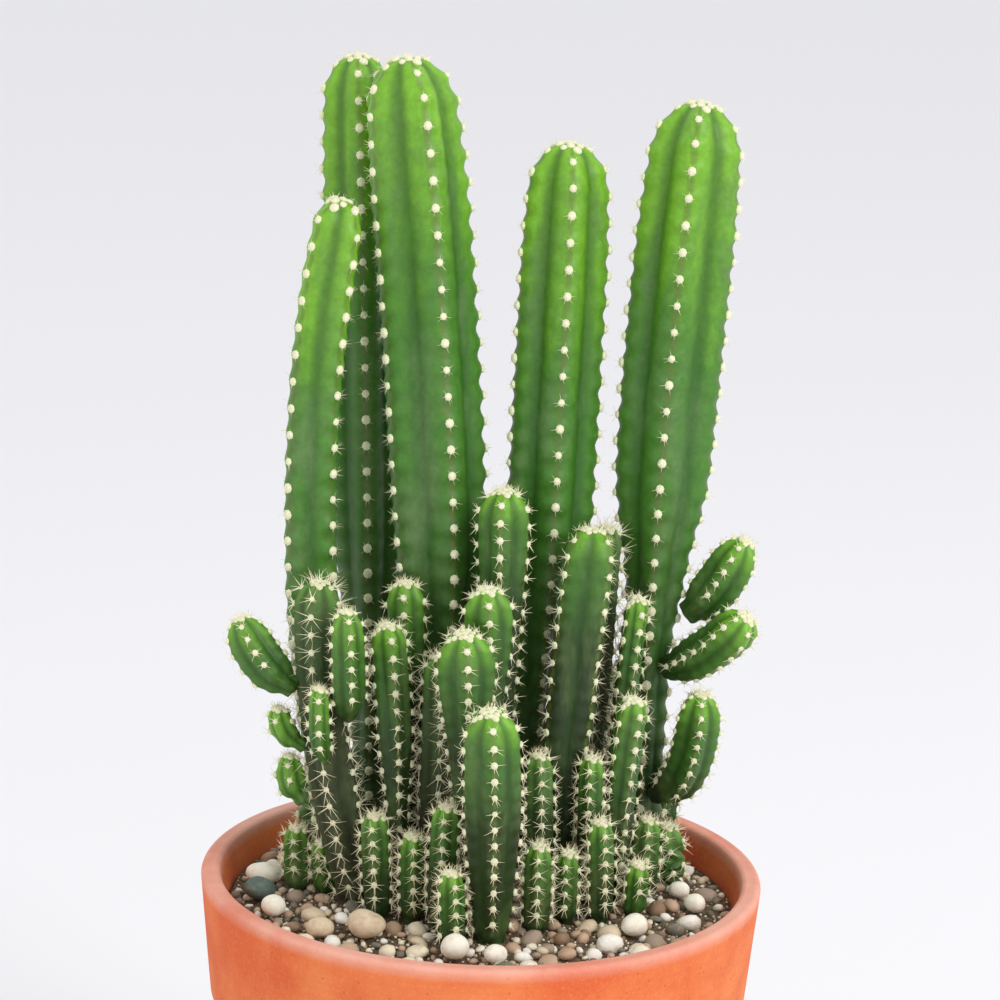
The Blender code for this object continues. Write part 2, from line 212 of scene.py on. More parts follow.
def merged_copy(node):
    """The node's mesh as a bmesh with its loose triangles joined up again."""
    cage = bmesh.new()
    cage.from_mesh(frame["nodes"][node].data)
    bmesh.ops.remove_doubles(cage, verts=cage.verts[:], dist=CAD_MERGE)
    cage.verts.index_update()
    return cage


def read_rings(node):
    """Lists of points, one list a ring, from the crown's pole down to the foot's."""
    cage = merged_copy(node)
    most = max(len(v.link_edges) for v in cage.verts)
    level = [max((v for v in cage.verts if len(v.link_edges) == most), key=lambda v: v.co.z)]
    seen = set(level)
    rings = []
    while level:
        rings.append([v.co.copy() for v in level])
        below = {e.other_vert(v) for v in level for e in v.link_edges} - seen
        level = sorted(below, key=lambda v: v.index)
        seen.update(level)
    cage.free()
    return rings


def read_stem(node):
    """Centre points, crest radii and crest directions from crown to foot, and the rib count."""
    rings = read_rings(node)
    centres = [sum(ring, Vector()) / len(ring) for ring in rings]
    body = rings[1:-1]
    reaches = [max((p - c).length for p in ring) for ring, c in zip(body, centres[1:])]
    crest = Vector((0.0, -1.0, 0.0))
    crests = []
    for ring, centre, reach in zip(body, centres[1:], reaches):
        arms = [(p - centre).normalized() for p in ring if (p - centre).length > CREST_SHARE * reach]
        crest = max(arms, key=crest.dot)
        crests.append(crest)
    points_a_rib = 4 if len(body[0]) > SMALL_RING else 2
    return centres, reaches, crests, len(body[0]) // points_a_rib


for name in stem_names[:3]:
    centres, reaches, crests, ribs = read_stem(name)
    print(name, ribs, "ribs", len(centres), "stations", round(max(reaches) / MM, 2), "mm")

# %% [markdown]
# ## The ribbed skin
# A columnar cactus is a stack of rings that all follow one rule: four or five broad ribs with
# rounded crests and narrow furrows, and along each crest a row of low swellings, one under each
# areole. A rule like that is what Geometry Nodes are for. One node group works out the place on
# the skin for any turn round the stem and any distance down from the crown. The skin, the wool
# and the spines all ask that same group, so an areole always sits on its swelling.

# %% Helpers for node trees
SOCKETS = {"Geometry": "NodeSocketGeometry", "Float": "NodeSocketFloat", "Int": "NodeSocketInt",
           "Vector": "NodeSocketVector", "Material": "NodeSocketMaterial",
           "Object": "NodeSocketObject"}
QUARTER_TURN = math.pi / 2


def new_tree(name, inputs, outputs):
    """A geometry node tree with named sockets, and the sockets inside it."""
    tree = bpy.data.node_groups.new(name, "GeometryNodeTree")
    for direction, sockets in (("INPUT", inputs), ("OUTPUT", outputs)):
        for label, kind in sockets.items():
            tree.interface.new_socket(name=label, in_out=direction, socket_type=SOCKETS[kind])
    return tree, tree.nodes.new("NodeGroupInput").outputs, tree.nodes.new("NodeGroupOutput").inputs


def grow(name, base, tree, values):
    """Runs a tree on a mesh and keeps the result as a plain mesh object at the origin."""
    helper = bpy.data.objects.new(name, base)
    bpy.context.scene.collection.objects.link(helper)
    modifier = helper.modifiers.new("Nodes", "NODES")
    modifier.node_group = tree
    for item in tree.interface.items_tree:
        if item.in_out == "INPUT" and item.name in values:
            modifier[item.identifier] = values[item.name]
    graph = bpy.context.evaluated_depsgraph_get()
    mesh = bpy.data.meshes.new_from_object(helper.evaluated_get(graph))
    helper.modifiers.clear()
    helper.data = mesh
    mesh.name = name
    return helper


def finish_tree(tree, geometry, smooth, material, end):
    """Ends a tree: instances made real, faces smooth or flat, and one finish on them all."""
    real = put(tree, "GeometryNodeRealizeInstances", {"Geometry": geometry})
    shaded = put(tree, "GeometryNodeSetShadeSmooth", {"Geometry": real, "Shade Smooth": smooth})
    finished = put(tree, "GeometryNodeSetMaterial", {"Geometry": shaded, "Material": material})
    tree.links.new(finished.outputs[0], end)
    print(tree.name, "has", len(tree.nodes), "nodes")


# %% The rule of the skin
DOME_ARC = 1.55
DOME_BLUNTNESS = 0.8
CREST_STAGGER = 0.4
FIRST_AREOLE = 0.3
FURROW_SHARPNESS = 1.3

rule, given, found = new_tree(
    "place on the skin",
    {"Centre line": "Geometry", "Turn": "Float", "Down": "Float", "Dome": "Float", "Ribs": "Int",
     "Rib depth": "Float", "Areole spacing": "Float", "Swelling": "Float"},
    {"Place": "Vector", "Outward": "Vector", "Upward": "Vector", "Crest": "Float",
     "Areole": "Float", "Stagger": "Float"})
dome_skin = put(rule, "ShaderNodeMath", {0: given["Dome"], 1: DOME_ARC}, operation="MULTIPLY")
share = put(rule, "ShaderNodeMath", {0: given["Down"], 1: dome_skin}, operation="DIVIDE", use_clamp=True)
bend = put(rule, "ShaderNodeMath", {0: share, 1: QUARTER_TURN}, operation="MULTIPLY")
rounded = put(rule, "ShaderNodeMath", {0: bend}, operation="SINE")
dome_out = put(rule, "ShaderNodeMath", {0: rounded, 1: DOME_BLUNTNESS}, operation="POWER")
dome_up = put(rule, "ShaderNodeMath", {0: bend}, operation="COSINE")
sunk = put(rule, "ShaderNodeMath", {0: 1.0, 1: dome_up}, operation="SUBTRACT")
in_dome = put(rule, "ShaderNodeMath", {0: given["Dome"], 1: sunk}, operation="MULTIPLY")
past = put(rule, "ShaderNodeMath", {0: given["Down"], 1: dome_skin}, operation="SUBTRACT")
below_dome = put(rule, "ShaderNodeMath", {0: past, 1: 0.0}, operation="MAXIMUM")
along = put(rule, "ShaderNodeMath", {0: in_dome, 1: below_dome}, operation="ADD")

radius_note = put(rule, "GeometryNodeInputNamedAttribute", {"Name": "reach"}, data_type="FLOAT")
crest_note = put(rule, "GeometryNodeInputNamedAttribute", {"Name": "crest_way"}, data_type="FLOAT_VECTOR")
radius_here = put(rule, "GeometryNodeSampleCurve",
                  {"Curves": given["Centre line"], "Value": radius_note, "Length": along},
                  mode="LENGTH", data_type="FLOAT")
line_here = put(rule, "GeometryNodeSampleCurve",
                {"Curves": given["Centre line"], "Value": crest_note, "Length": along},
                mode="LENGTH", data_type="FLOAT_VECTOR")
centre, downward = line_here.outputs["Position"], line_here.outputs["Tangent"]
slant = put(rule, "ShaderNodeVectorMath", {0: line_here.outputs["Value"], 1: downward},
            operation="PROJECT")
square = put(rule, "ShaderNodeVectorMath", {0: line_here.outputs["Value"], 1: slant},
             operation="SUBTRACT")
crest_way = put(rule, "ShaderNodeVectorMath", {0: square}, operation="NORMALIZE")
side_way = put(rule, "ShaderNodeVectorMath", {0: crest_way, 1: downward},
               operation="CROSS_PRODUCT")
angle = put(rule, "ShaderNodeMath", {0: given["Turn"], 1: math.tau}, operation="MULTIPLY")
cosine = put(rule, "ShaderNodeMath", {0: angle}, operation="COSINE")
sine = put(rule, "ShaderNodeMath", {0: angle}, operation="SINE")
part_crest = put(rule, "ShaderNodeVectorMath", {0: crest_way, "Scale": cosine}, operation="SCALE")
part_side = put(rule, "ShaderNodeVectorMath", {0: side_way, "Scale": sine}, operation="SCALE")
radial = put(rule, "ShaderNodeVectorMath", {0: part_crest, 1: part_side}, operation="ADD")

rib_turn = put(rule, "ShaderNodeMath", {0: given["Turn"], 1: given["Ribs"]}, operation="MULTIPLY")
rib_centre = put(rule, "ShaderNodeMath", {0: rib_turn}, operation="ROUND")
off_crest = put(rule, "ShaderNodeMath", {0: rib_turn, 1: rib_centre}, operation="SUBTRACT")
flank = put(rule, "ShaderNodeMath", {0: off_crest, 1: math.pi}, operation="MULTIPLY")
flank_cosine = put(rule, "ShaderNodeMath", {0: flank}, operation="COSINE", use_clamp=True)
crestness = put(rule, "ShaderNodeMath", {0: flank_cosine, 1: FURROW_SHARPNESS}, operation="POWER")
hollow = put(rule, "ShaderNodeMath", {0: 1.0, 1: crestness}, operation="SUBTRACT")
rib_loss = put(rule, "ShaderNodeMath", {0: hollow, 1: given["Rib depth"]}, operation="MULTIPLY")

rib_number = put(rule, "ShaderNodeMath", {0: rib_centre, 1: given["Ribs"]}, operation="MODULO")
rib_offset = put(rule, "ShaderNodeMath", {0: rib_number, 1: CREST_STAGGER}, operation="MULTIPLY")
rib_start = put(rule, "ShaderNodeMath", {0: rib_offset}, operation="FRACT")
stagger = put(rule, "ShaderNodeMath", {0: rib_start, 1: FIRST_AREOLE}, operation="ADD")
in_spacings = put(rule, "ShaderNodeMath", {0: given["Down"], 1: given["Areole spacing"]},
                  operation="DIVIDE")
from_areole = put(rule, "ShaderNodeMath", {0: in_spacings, 1: stagger}, operation="SUBTRACT")
swing = put(rule, "ShaderNodeMath", {0: from_areole, 1: math.tau}, operation="MULTIPLY")
wave = put(rule, "ShaderNodeMath", {0: swing}, operation="COSINE")
near_areole = put(rule, "ShaderNodeMath", {0: wave, 1: 0.5, 2: 0.5}, operation="MULTIPLY_ADD")
notch = put(rule, "ShaderNodeMath", {0: 1.0, 1: near_areole}, operation="SUBTRACT")
notch_here = put(rule, "ShaderNodeMath", {0: notch, 1: crestness}, operation="MULTIPLY")
swelling_loss = put(rule, "ShaderNodeMath", {0: notch_here, 1: given["Swelling"]}, operation="MULTIPLY")

rib_share = put(rule, "ShaderNodeMath", {0: 1.0, 1: rib_loss}, operation="SUBTRACT")
ribbed = put(rule, "ShaderNodeMath", {0: radius_here.outputs["Value"], 1: rib_share}, operation="MULTIPLY")
swollen = put(rule, "ShaderNodeMath", {0: ribbed, 1: swelling_loss}, operation="SUBTRACT")
kept = put(rule, "ShaderNodeMath", {0: swollen, 1: 0.0}, operation="MAXIMUM")
reach = put(rule, "ShaderNodeMath", {0: kept, 1: dome_out}, operation="MULTIPLY")
step_out = put(rule, "ShaderNodeVectorMath", {0: radial, "Scale": reach}, operation="SCALE")
place = put(rule, "ShaderNodeVectorMath", {0: centre, 1: step_out}, operation="ADD")
upward = put(rule, "ShaderNodeVectorMath", {0: downward, "Scale": -1.0}, operation="SCALE")
lean_out = put(rule, "ShaderNodeVectorMath", {0: radial, "Scale": dome_out}, operation="SCALE")
lean_up = put(rule, "ShaderNodeVectorMath", {0: upward, "Scale": dome_up}, operation="SCALE")
lean = put(rule, "ShaderNodeVectorMath", {0: lean_out, 1: lean_up}, operation="ADD")
outward = put(rule, "ShaderNodeVectorMath", {0: lean}, operation="NORMALIZE")
answers = {"Place": place, "Outward": outward, "Upward": upward, "Crest": crestness,
           "Areole": near_areole, "Stagger": stagger}
for label, node in answers.items():
    rule.links.new(node.outputs[0], found[label])
print("the rule of the skin has", len(rule.nodes), "nodes")

# %% [markdown]
# The skin itself is a flat grid rolled up by that rule: one direction of the grid becomes the
# turn round the stem and the other the way down it. The seam and the poles are merged shut.
# Three notes are kept on the points for the skin's finish: how near a crest, how near an areole,
# and how far below the crown, stretched for the stems that darken faster, partly with age and
# partly as painted shade low in the crowded clump.

# %% The skin tree
SIZES = {"Dome": "Float", "Ribs": "Int", "Rib depth": "Float", "Areole spacing": "Float",
         "Swelling": "Float"}
SEAM_MERGE = 0.02 * MM


def ask_rule(tree, line, given, turn, down):
    """The rule's answers for a place on the skin of the stem that this tree is growing."""
    sizes = {name: given[name] for name in SIZES}
    asked = put(tree, "GeometryNodeGroup", {"Centre line": line, "Turn": turn, "Down": down, **sizes},
                node_tree=rule)
    return asked.outputs


skin_tree, given, found = new_tree(
    "ribbed skin", {"Geometry": "Geometry", **SIZES, "Points around": "Int", "Rows": "Int",
                    "Darkening pace": "Float", "Skin": "Material"}, {"Geometry": "Geometry"})
line = put(skin_tree, "GeometryNodeMeshToCurve", {"Mesh": given["Geometry"]})
length = put(skin_tree, "GeometryNodeCurveLength", {"Curve": line})
skin_length = put(skin_tree, "ShaderNodeMath", {0: given["Dome"], 1: DOME_ARC - 1.0, 2: length},
                  operation="MULTIPLY_ADD")
seam = put(skin_tree, "ShaderNodeMath", {0: given["Points around"], 1: 1.0}, operation="ADD")
sheet = put(skin_tree, "GeometryNodeMeshGrid",
            {"Size X": 1.0, "Size Y": 1.0, "Vertices X": seam, "Vertices Y": given["Rows"]})
spot = put(skin_tree, "ShaderNodeSeparateXYZ", {0: put(skin_tree, "GeometryNodeInputPosition")})
turn = put(skin_tree, "ShaderNodeMath", {0: spot.outputs["X"], 1: 0.5}, operation="ADD")
row = put(skin_tree, "ShaderNodeMath", {0: 0.5, 1: spot.outputs["Y"]}, operation="SUBTRACT")
down = put(skin_tree, "ShaderNodeMath", {0: row, 1: skin_length}, operation="MULTIPLY")
skin = ask_rule(skin_tree, line, given, turn, down)
# The distance down is stretched by a pace of darkening, partly age and partly painted shade.
paced_down = put(skin_tree, "ShaderNodeMath", {0: down, 1: given["Darkening pace"]}, operation="MULTIPLY")
noted = sheet
for label, value in (("crest", skin["Crest"]), ("areole", skin["Areole"]), ("down", paced_down)):
    noted = put(skin_tree, "GeometryNodeStoreNamedAttribute",
                {"Geometry": noted, "Name": label, "Value": value})
rolled = put(skin_tree, "GeometryNodeSetPosition", {"Geometry": noted, "Position": skin["Place"]})
closed = put(skin_tree, "GeometryNodeMergeByDistance", {"Geometry": rolled, "Distance": SEAM_MERGE})
finish_tree(skin_tree, closed, True, given["Skin"], found["Geometry"])

# %% [markdown]
# ## Stations of a stem
# The rule needs the centre line as a string of points, each with the reach of its crests and the
# way one crest points. Inside the domed crown the solid's rings already shrink, so their reach is
# divided by a round dome's share at that depth. A side shoot's foot is drawn a little way into
# its parent, because the real shoot grows out of it.

# %% Stations
SHOOT_OVERLAP = 3.0 * MM
SHOOT_NECK = 0.75
NECK_END = 0.9
DOME_RING = 4
STATION_STEP = 1.5 * MM


def smooth_stations(points, reaches, crests):
    """Stations about a step apart on a smooth curve through the given ones.

    Each station's slope is the harmonic mean of the two beside it, or flat where they disagree,
    so the curve never swings past a station, however unevenly they are spaced.
    """
    rows = np.array([[*point, reach, *crest] for point, reach, crest in zip(points, reaches, crests)])
    gaps = np.linalg.norm(np.diff(rows[:, :3], axis=0), axis=1)[:, None]
    rise = np.diff(rows, axis=0) / gaps
    agree = rise[:-1] * rise[1:] > 0
    before, after = (np.where(agree, side, 1.0) for side in (rise[:-1], rise[1:]))
    near, far = 2 * gaps[1:] + gaps[:-1], gaps[1:] + 2 * gaps[:-1]
    inner = np.where(agree, (near + far) / (near / before + far / after), 0.0)
    slopes = np.vstack([rise[:1], inner, rise[-1:]])
    fine = []
    for number, (gap,) in enumerate(gaps):
        for u in np.linspace(0, 1, max(1, round(gap / STATION_STEP)), endpoint=False):
            weights = (2 * u**3 - 3 * u**2 + 1, 3 * u**2 - 2 * u**3)
            pulls = ((u**3 - 2 * u**2 + u) * gap, (u**3 - u**2) * gap)
            fine.append(weights[0] * rows[number] + weights[1] * rows[number + 1]
                        + pulls[0] * slopes[number] + pulls[1] * slopes[number + 1])
    fine.append(rows[-1])
    return np.array(fine)


def station_mesh(name):
    """The centre line as a mesh of edges, with the reach and crest notes, and its sizes."""
    centres, reaches, crests, ribs = read_stem(name)
    steps = [(b - a).length for a, b in zip(centres, centres[1:])]
    dome = sum(steps[:DOME_RING])
    for ring in range(1, DOME_RING):
        depth = sum(steps[:ring])
        bend = math.acos(1 - depth / dome)
        reaches[ring - 1] /= math.sin(bend)
    reaches = [reaches[0]] + reaches + [0.0]
    crests = [crests[0]] + crests + [crests[-1]]
    if name in side_shoots:
        into_parent = (centres[-2] - centres[-3]).normalized() * SHOOT_OVERLAP
        centres[-1] = centres[-2] + into_parent
        centres.insert(-1, centres[-2] + into_parent * NECK_END)
        reaches.insert(-1, reaches[-2] * SHOOT_NECK)
        crests.insert(-1, crests[-1])
    fine = smooth_stations(centres, reaches, crests)
    mesh = bpy.data.meshes.new(name + "_line")
    mesh.from_pydata(fine[:, :3].tolist(), [(i, i + 1) for i in range(len(fine) - 1)], [])
    mesh.attributes.new("reach", "FLOAT", "POINT").data.foreach_set("value", fine[:, 3])
    crest_ways = np.ascontiguousarray(fine[:, 4:]).ravel()
    mesh.attributes.new("crest_way", "FLOAT_VECTOR", "POINT").data.foreach_set("vector", crest_ways)
    length = float(np.linalg.norm(np.diff(fine[:, :3], axis=0), axis=1).sum())
    return mesh, {"Dome": dome, "Ribs": ribs}, length - dome + dome * DOME_ARC


# %% [markdown]
# ## Areoles: wool and spines
# Every areole is a small cushion of cream felt with a star of needles round it, and the crown
# has a small tuft of both. They repeat some three thousand times, so they are instances: a tree
# makes a point for every areole from its number alone, asks the rule where that point lies and
# which way the skin faces, and puts a felt pad or a star of spines there. The crown's tuft is
# laid out by the golden angle, the way a sunflower packs its seeds.

# %% The areole points
GOLDEN_SHARE = 0.381966


def areole_points(tree, given):
    """Points on every areole and on the crown, with the skin's directions noted on them."""
    line = put(tree, "GeometryNodeMeshToCurve", {"Mesh": given["Geometry"]})
    index = put(tree, "GeometryNodeInputIndex")
    total = put(tree, "ShaderNodeMath", {0: given["Ribs"], 1: given["Areoles a rib"]}, operation="MULTIPLY")
    on_ribs = put(tree, "GeometryNodePoints", {"Count": total})
    rib = put(tree, "ShaderNodeMath", {0: index, 1: given["Ribs"]}, operation="MODULO")
    turn = put(tree, "ShaderNodeMath", {0: rib, 1: given["Ribs"]}, operation="DIVIDE")
    in_rows = put(tree, "ShaderNodeMath", {0: index, 1: given["Ribs"]}, operation="DIVIDE")
    number = put(tree, "ShaderNodeMath", {0: in_rows}, operation="FLOOR")
    asked = ask_rule(tree, line, given, turn, 0.0)
    spacings = put(tree, "ShaderNodeMath", {0: number, 1: asked["Stagger"]}, operation="ADD")
    down = put(tree, "ShaderNodeMath", {0: spacings, 1: given["Areole spacing"]}, operation="MULTIPLY")
    rows = note_places(tree, on_ribs, line, given, turn, down, 0.0)

    on_crown = put(tree, "GeometryNodePoints", {"Count": given["Crown points"]})
    gold = put(tree, "ShaderNodeMath", {0: index, 1: GOLDEN_SHARE}, operation="MULTIPLY")
    gold_turn = put(tree, "ShaderNodeMath", {0: gold}, operation="FRACT")
    seed_share = put(tree, "ShaderNodeMath", {0: index, 1: given["Crown points"]}, operation="DIVIDE")
    root = put(tree, "ShaderNodeMath", {0: seed_share, 1: 0.5}, operation="POWER")
    crown_down = put(tree, "ShaderNodeMath", {0: root, 1: given["Crown width"]}, operation="MULTIPLY")
    crown = note_places(tree, on_crown, line, given, gold_turn, crown_down, 1.0)
    joined = put(tree, "GeometryNodeJoinGeometry")
    for node in (rows, crown):
        tree.links.new(node.outputs[0], joined.inputs[0])
    return joined


def note_places(tree, points, line, given, turn, down, crown):
    """Moves points onto the skin and notes its directions, and whether they are on the crown."""
    skin = ask_rule(tree, line, given, turn, down)
    notes = (("outward", skin["Outward"], "FLOAT_VECTOR"), ("upward", skin["Upward"], "FLOAT_VECTOR"),
             ("crown", crown, "FLOAT"))
    for label, value, kind in notes:
        points = put(tree, "GeometryNodeStoreNamedAttribute",
                     {"Geometry": points, "Name": label, "Value": value}, data_type=kind)
    return put(tree, "GeometryNodeSetPosition", {"Geometry": points, "Position": skin["Place"]})


def facing_out(tree):
    """The rotation that stands a shape on the skin, with its Y axis up the stem."""
    outward = put(tree, "GeometryNodeInputNamedAttribute", {"Name": "outward"}, data_type="FLOAT_VECTOR")
    upward = put(tree, "GeometryNodeInputNamedAttribute", {"Name": "upward"}, data_type="FLOAT_VECTOR")
    standing = put(tree, "FunctionNodeAlignRotationToVector", {"Vector": outward}, axis="Z")
    return put(tree, "FunctionNodeAlignRotationToVector",
               {"Rotation": standing, "Vector": upward}, axis="Y", pivot_axis="Z")


# %% Felt pads
AREOLE_SIZES = {**SIZES, "Areoles a rib": "Int", "Crown points": "Int", "Crown width": "Float"}
PAD_SHAPE = (1.0, 1.1, 0.6)
WOOL_SEED = 4

wool_tree, given, found = new_tree(
    "areole wool", {"Geometry": "Geometry", **AREOLE_SIZES, "Pad width": "Float", "Wool": "Material"},
    {"Geometry": "Geometry"})
points = areole_points(wool_tree, given)
pad = put(wool_tree, "GeometryNodeMeshUVSphere", {"Segments": 8, "Rings": 5, "Radius": 0.5})
uneven = put(wool_tree, "FunctionNodeRandomValue", {"Min": 0.82, "Max": 1.15, "Seed": WOOL_SEED})
width = put(wool_tree, "ShaderNodeMath", {0: uneven, 1: given["Pad width"]}, operation="MULTIPLY")
pad_shape = put(wool_tree, "ShaderNodeVectorMath", {0: PAD_SHAPE, "Scale": width}, operation="SCALE")
pads = put(wool_tree, "GeometryNodeInstanceOnPoints",
           {"Points": points, "Instance": pad, "Rotation": facing_out(wool_tree), "Scale": pad_shape})
finish_tree(wool_tree, pads, True, given["Wool"], found["Geometry"])

# %% Spine stars
SPINE_SEED = 7
CROWN_SPINES = 2.0
CROWN_SPINE_SHARE = 0.75
SPINE_TILT = (math.radians(35), math.radians(78))
CROWN_TILT = (0.0, math.radians(50))

spine_tree, given, found = new_tree(
    "spines", {"Geometry": "Geometry", **AREOLE_SIZES, "Spines a star": "Int", "Spine length": "Float",
               "Spine width": "Float", "Spine": "Material"}, {"Geometry": "Geometry"})
points = areole_points(spine_tree, given)
on_crown = put(spine_tree, "GeometryNodeInputNamedAttribute", {"Name": "crown"})
crown_spines = put(spine_tree, "ShaderNodeMix",
                   {"Factor": on_crown, "A": given["Spines a star"], "B": CROWN_SPINES})
stars = put(spine_tree, "GeometryNodeDuplicateElements", {"Geometry": points, "Amount": crown_spines},
            domain="POINT")
spine_number = put(spine_tree, "ShaderNodeMath",
                   {0: stars.outputs["Duplicate Index"], 1: given["Spines a star"]}, operation="DIVIDE")
numbered = put(spine_tree, "GeometryNodeStoreNamedAttribute",
               {"Geometry": stars.outputs["Geometry"], "Name": "number", "Value": spine_number})
spine_share = put(spine_tree, "GeometryNodeInputNamedAttribute", {"Name": "number"})
around_jitter = put(spine_tree, "FunctionNodeRandomValue", {"Min": -0.5, "Max": 0.5, "Seed": SPINE_SEED})
around = put(spine_tree, "ShaderNodeMath", {0: spine_share, 1: math.tau, 2: around_jitter},
             operation="MULTIPLY_ADD")
wide_tilt = put(spine_tree, "FunctionNodeRandomValue",
                {"Min": SPINE_TILT[0], "Max": SPINE_TILT[1], "Seed": SPINE_SEED + 1})
crown_tilt = put(spine_tree, "FunctionNodeRandomValue",
                 {"Min": CROWN_TILT[0], "Max": CROWN_TILT[1], "Seed": SPINE_SEED + 2})
tilt = put(spine_tree, "ShaderNodeMix", {"Factor": on_crown, "A": wide_tilt, "B": crown_tilt})
turned = put(spine_tree, "FunctionNodeRotateRotation",
             {"Rotation": facing_out(spine_tree),
              "Rotate By": put(spine_tree, "FunctionNodeAxisAngleToRotation",
                               {"Axis": (0.0, 0.0, 1.0), "Angle": around})}, rotation_space="LOCAL")
tilted = put(spine_tree, "FunctionNodeRotateRotation",
             {"Rotation": turned,
              "Rotate By": put(spine_tree, "FunctionNodeAxisAngleToRotation",
                               {"Axis": (1.0, 0.0, 0.0), "Angle": tilt})}, rotation_space="LOCAL")
needle = put(spine_tree, "GeometryNodeMeshCone",
             {"Vertices": 4, "Radius Top": 0.1, "Radius Bottom": 0.5, "Depth": 1.0}, fill_type="NGON")
needle_up = put(spine_tree, "ShaderNodeSeparateXYZ", {0: put(spine_tree, "GeometryNodeInputPosition")})
tipped = put(spine_tree, "GeometryNodeStoreNamedAttribute",
             {"Geometry": needle.outputs["Mesh"], "Name": "tip", "Value": needle_up.outputs["Z"]})
long_short = put(spine_tree, "FunctionNodeRandomValue", {"Min": 0.6, "Max": 1.15, "Seed": SPINE_SEED + 3})
full_length = put(spine_tree, "ShaderNodeMath", {0: long_short, 1: given["Spine length"]},
                  operation="MULTIPLY")
crown_share = put(spine_tree, "ShaderNodeMix", {"Factor": on_crown, "A": 1.0, "B": CROWN_SPINE_SHARE})
needle_length = put(spine_tree, "ShaderNodeMath", {0: full_length, 1: crown_share}, operation="MULTIPLY")
needle_shape = put(spine_tree, "ShaderNodeCombineXYZ",
                   {"X": given["Spine width"], "Y": given["Spine width"], "Z": needle_length})
needles = put(spine_tree, "GeometryNodeInstanceOnPoints",
              {"Points": numbered, "Instance": tipped, "Rotation": tilted, "Scale": needle_shape})
finish_tree(spine_tree, needles, False, given["Spine"], found["Geometry"])

# %% [markdown]
# ## Finishes of the plant
# Cactus skin is a waxy film over green flesh: yellow-green and fresh at the tip, deeper and
# greyer lower down, partly with age and partly as painted shade of the crowded clump. The furrows
# get painted shade, a darker colour, and the crests are a little brown where the areoles rub. The
# notes on the points carry the crest and the distance from the crown, and noise in the stem's own
# millimetres breaks everything up. The old stems have a corky bark instead of wax.

# %% Skin finish
WAX_IOR = 1.42
DARKEST_AT = 2.6


def per(millimetres):
    """The scale of a noise whose blotches are about this wide."""
    return 1.0 / (millimetres * MM)


def new_finish(name):
    """An empty node material, its shader and its object coordinates."""
    material = bpy.data.materials.new(name)
    material.use_nodes = True
    tree = material.node_tree
    coordinates = put(tree, "ShaderNodeTexCoord").outputs["Object"]
    return material, tree, tree.nodes["Principled BSDF"], coordinates


def layers(tree, colour, *coats):
    """Lays coats over a colour. Each coat is a share from 0 to 1 and a colour."""
    for share, coat in coats:
        colour = put(tree, "ShaderNodeMix", {"Factor": share, "A": colour, "B": coat}, data_type="RGBA")
    return colour


